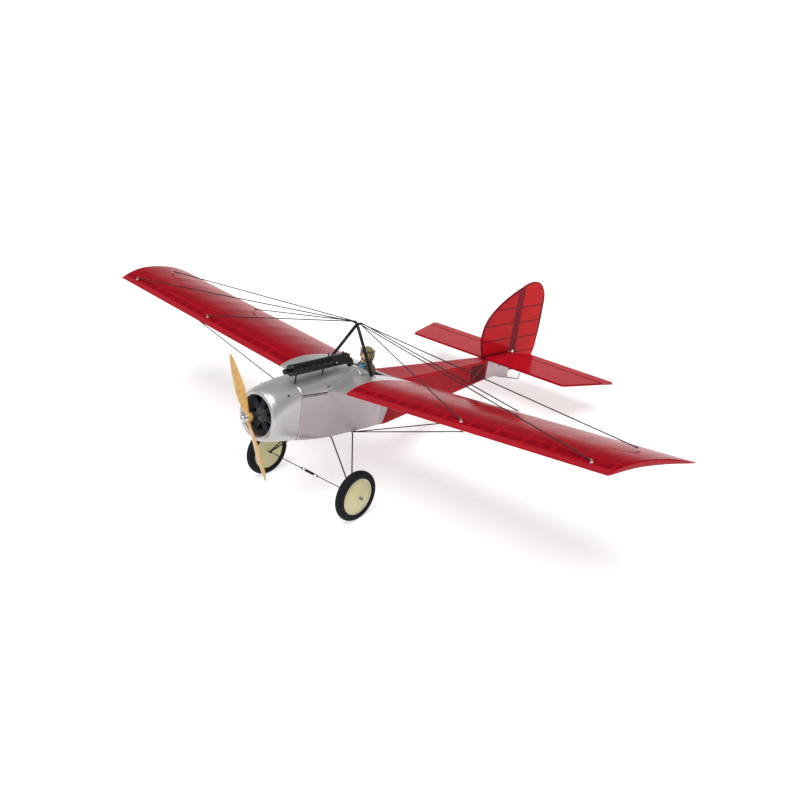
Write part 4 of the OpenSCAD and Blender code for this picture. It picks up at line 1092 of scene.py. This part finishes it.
def build_gun():
    jacket = Build()
    sides, rows = 64, 58
    verts = [(12.95 * cos(a), 12.95 * sin(a), 1 + 117 * r / rows)
             for r in range(rows + 1) for a in around(sides)]
    faces = []
    for r in range(rows):
        for k in range(sides):
            inside = r % 9 in (2, 3, 4, 5, 6) and 4 < r < rows - 4
            if inside and k % 8 == 3:
                continue
            a, b = r * sides + k, r * sides + (k + 1) % sides
            faces.append((a, b, b + sides, a + sides))
    jacket.add(verts, faces)
    solidify(gun_build(jacket, "gun_jacket_tube", "gun", ["gun_jacket"], 60), 1.0)
    barrel = Build()
    barrel.turn((0, 0, -17), (0, 0, 0),
                [(0, 2.6), (0, 5.4), (0.5, 6), (6.2, 6), (7, 5.4), (8.5, 4.4), (14, 4), (133.5, 4)],
                40)
    barrel.turn((0, 0, 0), (0, 0, 1), [(0, 4), (0, 12.2), (0.7, 12.9), (2.2, 12.9), (2.2, 4)], 64)
    barrel.turn((0, 0, 116), (0, 0, 117), [(0, 4), (0, 13), (3.1, 13), (3.1, 4)], 64)
    gun_build(barrel, "gun_barrel", "gun", ["gun_jacket"], 40)
    body = Build()
    body.box((0, -0.5, 148.2), (15, 22.6, 57.8))
    body.box((0, -12, 146), (11, 1.6, 44))
    body.box((0, -17.9, 114.2), (2.4, 8.6, 3.4))
    body.box((0, -15.5, 160), (3.6, 7, 3.4))
    body.box((0, 3.5, 148), (16.2, 2, 50))
    body.box((8.2, 5.6, 138), (2.6, 5.4, 14))
    body.box((-8.2, -2, 150), (2.2, 7, 20))
    gun_build(body, "gun_body", "gun", ["gun_receiver"], 35, 0.8)
    trim = Build()
    for z in (124, 133, 165, 172):
        for y in (-8, 8):
            trim.turn((7.4, y, z), (9, y, z), [(0, 1.1), (0.8, 1.1), (1.1, 0.8), (1.2, 0)], 14)
    trim.tube([(7.4, -1, 127), (16.2, -1, 127)], 1.7, 16)
    trim.ball((15.6, -1, 127), 2.5, rows=10, columns=16)
    gun_build(trim, "gun_rivets", "motor", ["gun_receiver"])
    grip = Build()
    upper = curve_through([(238, 109), (250, 106), (258, 98), (262, 88)], 6)
    lower = curve_through([(250, 83), (246, 91), (242, 95), (237, 96)], 6)
    grip.plate(upper + lower, 9.6, "x", GUN_X)
    sharpen(bevel(grip.make("gun_grip", "gun", ["gun_receiver"], "hatch"), 1.6, 3), 50)
    posts = Build()
    for y, low, high, waist in ((86, 62, 88.3, []), (167, 69, 91.4, [(7, 1.8)])):
        tall = high - low
        posts.turn((GUN_X, y, low), (GUN_X, y, high),
                   [(0, 1.8), *waist, (tall - 4.6, 1.9), (tall - 3.4, 3), (tall, 3)], 24)
        deck = deck_point(y, 0.45)[2]
        posts.turn((GUN_X, y, deck - 1), (GUN_X, y, deck + 2),
                   [(0, 4.6), (2.2, 4.6), (2.7, 4), (2.7, 1.8)], 28)
    sharpen(posts.make("gun_posts", "gun", ["gun_receiver"], "hatch"), 40)


# ---- pilot ---------------------------------------------------------------------------------------
HEAD_FIT = ((0, 336, 94.5), 1.14, (0, -1.5, 0.5))
CHEST_FIT = ((0, 338, 50), 1.06, (0, -3, 0))


def build_pilot():
    torso = Build()
    rings = []
    for z, w, d in ((25, 14, 12), (38, 19, 14), (50, 23, 15.5), (60, 25, 15.5), (68, 23.5, 14),
                    (73, 16.5, 12), (75, 10, 9.5), (76, 8, 8)):
        for a in around(40):
            fold = 0.5 * sin(a * 6 + z * 0.3) * (z < 68)
            rings.append((w * power(cos(a), 2.5) + fold * cos(a),
                          338 + d * power(sin(a), 2.5) + fold * sin(a), z))
    torso.add(rings, grid_faces(8, 40, False, True) + [tuple(range(40)), tuple(range(280, 320))])
    obj = torso.moved(*CHEST_FIT).make("pilot_jacket", "jacket", ["pilot_torso"])
    obj.modifiers.new("smooth", "SUBSURF").render_levels = 1
    collar = Build()
    for s in (-1, 1):
        collar.tube(curve_through([(s * 1.5, 322.5, 59), (s * 7, 323.5, 68), (s * 12.5, 330, 73),
                                   (s * 12, 340, 76), (s * 5, 347, 77)], 6), 2.3, 14)
        collar.tube([(s * 0.9, 322.6, 46), (s * 0.9, 322, 58)], 0.8, 10)
    collar.moved(*CHEST_FIT).make("pilot_collar", "strap", ["pilot_torso"])
    scarf = Build()
    for z, r, fat, y in ((69, 10.4, 4.2, 331.2), (73.4, 9.2, 3.6, 332)):
        path = [(r * sin(a) * (1 + 0.05 * sin(5 * a)),
                 y - (r + 6 * max(0, cos(a))) * cos(a),
                 z - 3.5 * max(0, cos(a)) + 0.7 * sin(3 * a + z))
                for a in around(40, True)]
        scarf.tube(path, [fat * (0.9 + 0.16 * sin(7 * k / 6.4)) for k in range(41)], 14)
    scarf.ball((0.5, 315.5, 65), 6.2, (1.3, 0.8, 0.9), 10, 16)
    scarf.make("pilot_scarf", "scarf", ["pilot_torso"])
    head = Build()
    rows, columns = 28, 40
    verts = []
    for r in range(rows + 1):
        p = pi * r / rows
        z = 94 + 15.5 * cos(p)
        for t in around(columns):
            front = max(0.0, -sin(t))
            radius = 13.4 * sin(p) ** 0.82
            radius *= 1 - 0.14 * max(0, (94 - z) / 15.5)
            x, y = radius * cos(t) * 0.94, radius * sin(t)
            face = front ** 6
            y -= face * (1.1 * exp(-((z - 83.5) / 3.0) ** 2) - 0.9 * exp(-((z - 96) / 3) ** 2))
            verts.append((x, 334 + y, z))
    head.add(verts, grid_faces(rows + 1, columns, False, True))
    head.turn((0, 334, 70), (0, 334, 84), [(0, 7), (4, 7), (9, 7.4), (14, 8)], 32)
    head.ball((0, 320.4, 91.2), 2.5, (0.75, 1.0, 1.3), 12, 16)
    head.ball((-1.4, 320.8, 89.6), 1.2, rows=8, columns=12)
    head.ball((1.4, 320.8, 89.6), 1.2, rows=8, columns=12)
    for s in (-1, 1):
        head.ball((s * 5, 323.4, 90), 3.2, (1.1, 0.6, 0.9), 10, 14)
        head.ball((s * 4.6, 321.6, 98.6), 2.6, (1.35, 0.5, 0.4), 8, 14)
    head.ball((0, 321.6, 81.2), 2.6, (1.4, 0.8, 0.9), 10, 14)
    head.moved(*HEAD_FIT).make("pilot_face", "skin", ["pilot_head"])
    lips = Build()
    lips.tube([(-3.2, 321.6, 85.6), (0, 320.3, 85.2), (3.2, 321.6, 85.6)], [0.3, 0.85, 0.3], 10)
    lips.moved(*HEAD_FIT).make("pilot_lips", "lip", ["pilot_head"])
    eyes = Build()
    for s in (-1, 1):
        eyes.ball((s * 4.6, 321.9, 95), 1.7, (1.2, 0.6, 0.75), 10, 16)
    eyes.moved(*HEAD_FIT).make("pilot_eyes", "eye", ["pilot_head"])
    helmet = Build()
    rows, columns = 30, 56
    verts, faces = [], []
    for r in range(rows + 1):
        p = 2.45 * r / rows
        for t in around(columns):
            radius = 15.3 * sin(p) ** 0.85
            verts.append((radius * cos(t) * 0.97, 335 + radius * sin(t) * 1.03,
                          94.6 + 16.9 * cos(p)))
    for r in range(rows):
        for c in range(columns):
            t = 2 * pi * (c + 0.5) / columns
            z = verts[r * columns + c][2]
            if -sin(t) > 0.52 and z < 101.5:
                continue
            if -sin(t) > 0.25 and z < 90:
                continue
            a, b = r * columns + c, r * columns + (c + 1) % columns
            faces.append((a, b, b + columns, a + columns))
    helmet.add(verts, faces)
    shell = helmet.moved(*HEAD_FIT).make("pilot_helmet_shell", "helmet", ["pilot_helmet"])
    solidify(shell, 0.9, 0)
    seams = Build()
    for x in (-4.6, 4.6):
        seams.tube([(x, 335 + 15.4 * sin(a), 94.4 + 16.9 * cos(a))
                    for a in (radians(d) for d in range(-64, 115, 8))], 0.45, 8)
    for s in (-1, 1):
        seams.ball((s * 13.6, 335.5, 90), 5, (0.42, 0.95, 1.15), 12, 20)
        seams.tube([(s * 12.6, 331, 88), (s * 10.4, 329.5, 82), (s * 6, 329, 77)], 0.9, 10)
    seams.moved(*HEAD_FIT).make("helmet_seams", "helmet_dark", ["pilot_helmet"])
    strap = Build()
    strap.tube([(14.6 * cos(a), 335 + 15.4 * sin(a), 104.2 - 1.2 * sin(a))
                for a in around(48, True)], 1.0, 10)
    for s in (-1, 1):
        rim = [(s * 5.3 + 4.6 * cos(a), 320.6 + 0.55 * abs(4.6 * cos(a)), 105.4 + 3.9 * sin(a))
               for a in around(28, True)]
        strap.tube(rim, 1.0, 10)
    strap.moved(*HEAD_FIT).make("goggle_frames", "strap", ["pilot_helmet"])
    lens = Build()
    for s in (-1, 1):
        lens.ball((s * 5.3, 321.4, 105.4), 4.5, (1, 0.42, 0.84), 12, 24)
    lens.moved(*HEAD_FIT).make("goggle_lenses", "glass", ["pilot_helmet"])


# ---- mast, rigging, undercarriage ----------------------------------------------------------------
def build_mast():
    legs = Build()
    for s in (-1, 1):
        foot = Vector((s * 70.2, 279.1, 67.9))
        top = Vector((s * 2.5, MAST_Y, 171))
        legs.tube([foot + (top - foot) * t for t in (0.012, 0.03, 0.5, 0.97, 1)],
                  [3.0, 3.8, 3.8, 3.8, 3.0], 28)
    legs.ball((0, MAST_Y, 173), 5, (1.1, 0.8, 0.75), 10, 16)
    legs.make("mast_legs", "tube", ["cabane_legs"])
    plate = Build()
    plate.plate([(7 * sx + 5 * cos(a), MAST_Y + 5 * sin(a)) for sx, start in ((1, -90), (-1, 90))
                 for a in (radians(start + 15 * k) for k in range(13))], 2, "z", 177)
    sharpen(bevel(plate.make("mast_plate", "tube", ["cabane_plate"]), 0.4), 40)
    fittings = Build()
    for s in (-1, 1):
        fittings.turn((7 * s, MAST_Y, 174.6), (7 * s, MAST_Y, 179),
                      [(0, 1.9), (1.2, 1.9), (1.2, 1.1), (3.4, 1.1), (3.4, 2.1), (4.4, 2.1),
                       (4.7, 1.7), (4.7, 0)], 20)
        tilt = Matrix.Rotation(-s * DIHEDRAL, 3, "Y")
        fittings.box((s * 70.2, 279.1, wing_side_z(279.1, 1, 70) + 0.35), (13, 9, 1), tilt)
    fittings.make("mast_fittings", "motor")


# Each hook: place along the panel, fraction of the chord, and upper (1) or lower (-1) surface.
HOOKS = ((699, 0.07, 1), (725, 0.59, 1), (403, 0.08, 1), (426, 0.76, 1), (417, 0.04, -1),
         (408, 0.85, -1))


def foil_slope(c, side):
    return atan((foil_z(c + 0.01, side) - foil_z(c - 0.01, side)) / (0.02 * CHORD))


def hook_eye(x, c, side, mirror, lift=4.6):
    a = foil_slope(c, side)
    return Vector(wing_point(x, c * CHORD - side * lift * sin(a),
                             foil_z(c, side) + side * lift * cos(a), mirror))


def build_rigging():
    order = (0, 2, 1, 3)
    for mirror, side_name in ((1, "left"), (-1, "right")):
        cords, sleeves, hooks = Build(), Build(), Build()
        for i, (x, c, side) in enumerate(HOOKS):
            eye = hook_eye(x, c, side, mirror)
            if side > 0:
                start = Vector((mirror * 9, MAST_Y + order[i] * 3 - 4.5, 179))
            else:
                start = Vector((mirror * 50, BELLY_HOOK_Y + 3 * (i - 4) - 1.5, -70.5))
            line = (start - eye).normalized()
            cords.tube([start, eye + line * 1.2], 1.25, 10)
            cords.ball(start, 1.9, rows=6, columns=10)
            sleeves.tube([eye + line * 4, eye + line * 10], 1.6, 12)
            foot = hook_eye(x, c, side, mirror, 0.1)
            top = hook_eye(x, c, side, mirror, 1)
            hooks.turn(foot, top, [(0, 3.6), (0.5, 3.6), (0.8, 3.3), (0.9, 0)], 32)
            loop = [eye + line * 1.9 * cos(a) + (eye - foot).normalized() * 1.9 * sin(a)
                    for a in around(24, True)]
            hooks.tube(loop, 0.7, 10)
            hooks.tube([foot, foot + (eye - foot) * 0.62], 1.3, 12)
        cords.make("rigging_cords_" + side_name, "cord", ["rigging_" + side_name])
        sleeves.make("cord_sleeves_" + side_name, "case")
        hooks.make("wing_hooks_" + side_name, "hook", ["rigging_hooks"])
    anchor = Build()
    for s in (-1, 1):
        anchor.box((s * 45, BELLY_HOOK_Y, -70.6), (8, 5, 2.6))
        anchor.tube([(s * 49 + 1.8 * cos(a), BELLY_HOOK_Y + 1.8 * sin(a), -70.6)
                     for a in around(20, True)], 0.7, 8)
    bevel(anchor.make("rigging_anchors", "case", ["rigging_hooks"]), 0.3)


def belly_z(y):
    return -lookup(NOSE_KEEL, y) - 1.7


def rounded(points, radius, steps=6):
    """A path with its corners rounded off."""
    path = [tuple(points[0])]
    for a, b, c in zip(points, points[1:], points[2:]):
        a, b, c = Vector(a), Vector(b), Vector(c)
        p, q = b + (a - b).normalized() * radius, b + (c - b).normalized() * radius
        path += [tuple(p * (1 - t) ** 2 + b * 2 * t * (1 - t) + q * t * t)
                 for t in (k / steps for k in range(steps + 1))]
    return path + [tuple(points[-1])]


def build_gear():
    for s, side in ((1, "left"), (-1, "right")):
        wire = Build()
        for y, knee, end in zip(GEAR_LEGS_Y, (138, 137), (171, 0)):
            z = belly_z(y)
            path = [(s * 12, y, z), (s * 50, y, z), (s * knee, AXLE_Y, AXLE_Z)]
            if end:
                path.append((s * end, AXLE_Y, AXLE_Z))
            wire.tube(rounded(path, 5), 1.6, 16)
        wire.tube([(s * 132, AXLE_Y - 0.5, AXLE_Z + 0.6), (s * 140, AXLE_Y, AXLE_Z)], 2.4, 16)
        wire.make("gear_legs_" + side, "wire", ["gear_wire_" + side])
        spreader = Build()
        loop = [(s * (24 + 3 * cos(a)), AXLE_Y - 3 * sin(a) * 0.2, AXLE_Z + 3 * sin(a))
                for a in (radians(150 - 15 * k) for k in range(19))]
        spreader.tube(loop + [(s * 30, AXLE_Y, AXLE_Z), (s * 134, AXLE_Y, AXLE_Z)], 1.0, 10)
        spreader.make("spreader_wire_" + side, "wire", ["spreader_wires"])
        collar = Build()
        collar.turn((s * 165.2, AXLE_Y, AXLE_Z), (s * 170.2, AXLE_Y, AXLE_Z),
                    [(0, 1.7), (0, 3.3), (0.3, 3.6), (4.7, 3.6), (5, 3.3), (5, 1.7)], 32, True)
        collar.tube([(s * 167.7, AXLE_Y, AXLE_Z), (s * 167.7, AXLE_Y, AXLE_Z + 4)], 1, 12)
        collar.make("axle_collar_" + side, "motor", ["axle_collars"])
    coil = Build()
    turns, half = 15, 15
    path = [(-half - 4, AXLE_Y, AXLE_Z + 2.4), (-half - 2, AXLE_Y, AXLE_Z + 2.6)]
    path += [(-half + 2 * half * k / (turns * 16), AXLE_Y + 2.5 * sin(2 * pi * k / 16),
              AXLE_Z + 2.5 * cos(2 * pi * k / 16)) for k in range(turns * 16 + 1)]
    path += [(half + 2, AXLE_Y, AXLE_Z + 2.6), (half + 4, AXLE_Y, AXLE_Z + 2.4)]
    coil.tube(path, 0.65, 8)
    coil.make("spreader_coil", "spring", ["spreader_spring"])
    saddles = Build()
    for s in (-1, 1):
        for y in GEAR_LEGS_Y:
            z = belly_z(y)
            saddles.box((s * 30, y, z - 1.2), (10, 11, 3.4))
            for dy in (-3.9, 3.9):
                saddles.turn((s * 30, y + dy, z - 2.7), (s * 30, y + dy, z - 4),
                             [(0, 1.5), (0.8, 1.4), (1, 0)], 14)
    bevel(saddles.make("gear_saddle_blocks", "case", ["gear_saddles"]), 0.5)


def build_wheels():
    for s, side in ((1, "left"), (-1, "right")):
        tyre, hub, rim = Build(), Build(), Build()
        at = Vector((s * TRACK, AXLE_Y, AXLE_Z))
        profile = [(-7.4, HUB_R - 0.4), (-8.2, HUB_R + 1.4), (-9.1, HUB_R + 3.6)]
        profile += [(10.3 * sin(a), TYRE_R - 8.6 + 8.6 * cos(a) ** 0.8)
                    for a in (radians(-84 + 8 * k) for k in range(22))]
        profile += [(9.1, HUB_R + 3.6), (8.2, HUB_R + 1.4), (7.4, HUB_R - 0.4)]
        tyre.turn(at, at + Vector((s, 0, 0)), profile, 120, True)
        sharpen(tyre.make("tyre_tread_" + side, "tyre", ["tyre_" + side], "wheel_" + side), 60)
        hub.turn(at, at + Vector((s, 0, 0)),
                 [(-7, 1.65), (-7, 30), (-7, HUB_R - 0.2), (0, HUB_R - 0.2), (6.6, HUB_R - 3.2),
                  (7, HUB_R - 4.2),
                  (8.2, 38), (9.5, 33), (11.2, 26), (12.6, 19), (13.7, 12), (14.3, 7.4),
                  (14.5, 6.4), (14.5, 5), (14.6, 3.6), (14.6, 1.65)], 120)
        sharpen(hub.make("hub_disc_" + side, "hub", ["hub_" + side], "wheel_" + side), 40)
        rim.turn(at, at + Vector((s, 0, 0)),
                 [(6.6, HUB_R - 3.4), (7.5, HUB_R - 2.9), (8, HUB_R - 2), (8, HUB_R - 1.2),
                  (7.6, HUB_R - 0.5), (6.8, HUB_R)], 120, True)
        rim.make("hub_rim_" + side, "hub_rim", ["hub_" + side], "wheel_" + side)


# ---- camera, lights, floor -----------------------------------------------------------------------
def build_camera():
    """The view of the reference picture: 41 degrees round to the left of the nose, 27 above."""
    data = bpy.data.cameras.new("camera")
    data.lens, data.sensor_width = 42.72, 36
    data.clip_end = 50
    camera = bpy.data.objects.new("camera", data)
    camera.location = origin + stance.to_3x3() @ (Vector((1404, -1301, 713)) * MM)
    az, el, roll = radians(41.332), radians(27.284), radians(0.592)
    back = Vector((sin(az) * cos(el), -cos(az) * cos(el), sin(el)))
    right = Vector((cos(az), sin(az), 0))
    over = back.cross(right)
    turned_right = right * cos(roll) + over * sin(roll)
    turned_up = back.cross(turned_right)
    camera.rotation_mode = "QUATERNION"
    camera.rotation_quaternion = Matrix((turned_right, turned_up,
                                         back)).transposed().to_quaternion()
    bpy.context.scene.collection.objects.link(camera)
    bpy.context.scene.camera = camera


def build_light():
    """A room pale at its horizon and dim above, with a broad soft sun."""
    world_data = bpy.data.worlds.new("studio")
    world_data.use_nodes = True
    tree = world_data.node_tree
    background = tree.nodes["Background"]
    place = tree.nodes.new("ShaderNodeTexCoord")
    split = tree.nodes.new("ShaderNodeSeparateXYZ")
    ramp = tree.nodes.new("ShaderNodeValToRGB")
    tree.links.new(place.outputs["Generated"], split.inputs[0])
    half = tree.nodes.new("ShaderNodeMapRange")
    half.inputs["From Min"].default_value = -1
    tree.links.new(split.outputs["Z"], half.inputs["Value"])
    tree.links.new(half.outputs[0], ramp.inputs["Fac"])
    stops = [(0.0, 0.9), (0.5, 0.85), (0.58, 0.5), (0.7, 0.16), (1.0, 0.3)]
    while len(ramp.color_ramp.elements) < len(stops):
        ramp.color_ramp.elements.new(0.5)
    for element, (where, value) in zip(ramp.color_ramp.elements, stops):
        element.position = where
        element.color = (value, value, value, 1)
    tree.links.new(ramp.outputs["Color"], background.inputs["Color"])
    background.inputs["Strength"].default_value = 1.0
    bpy.context.scene.world = world_data
    bpy.context.scene.view_settings.view_transform = "Standard"
    data = bpy.data.lights.new("key", "SUN")
    data.angle, data.energy = radians(46), 3.6
    lamp = bpy.data.objects.new("key", data)
    lamp.rotation_euler = (-Vector((0.3, -0.6, 2))).to_track_quat("-Z", "Y").to_euler()
    bpy.context.scene.collection.objects.link(lamp)


def build_floor():
    """Pale paper that also glows, like a light table, so that shadows stay soft."""
    bpy.ops.mesh.primitive_plane_add(size=80, location=(0, 0, 0))
    floor = bpy.context.object
    floor.name = "floor"
    material = new_material("floor_paper", (0.5, 0.5, 0.5), 0.9, Specular_IOR_Level=0.0)
    n = Nodes(material)
    n.bump(n.noise(300, 2), 0.02, 0.001)
    n.shader.inputs["Emission Color"].default_value = (1, 1, 1, 1)
    n.shader.inputs["Emission Strength"].default_value = 0.68
    floor.data.materials.append(material)


build_camera()
build_light()
build_floor()
build_cowl()
build_side_panels()
build_decks()
build_seams()
build_wings()
build_rear()
build_tail_block()
build_tail()
build_propeller()
build_engine()
build_gun()
build_pilot()
build_mast()
build_rigging()
build_gear()
build_wheels()

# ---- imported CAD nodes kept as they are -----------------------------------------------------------
NODE_LOOK = {
    "motor": ["motor_stator", "motor_bell"], "battery": ["battery"],
    "case": ["speed_controller", "receiver", "servos"],
    "balsa": ["fuselage_formers", "tail_truss", "wing_left_ribs", "wing_right_ribs",
              "wing_left_spars", "wing_right_spars"],
    "tube": ["wing_joiner"], "red_wood": ["elevator_frame", "rudder_frame"],
    "nylon": ["rudder_servo_arm", "elevator_servo_arm"],
    "wire": ["rudder_pushrod", "elevator_pushrod"],
}
for look, node_names in NODE_LOOK.items():
    for node in (frame["nodes"][name] for name in node_names):
        if not node.material_slots:
            node.data.materials.append(M[look])
        for material_slot in node.material_slots:
            material_slot.material = M[look]
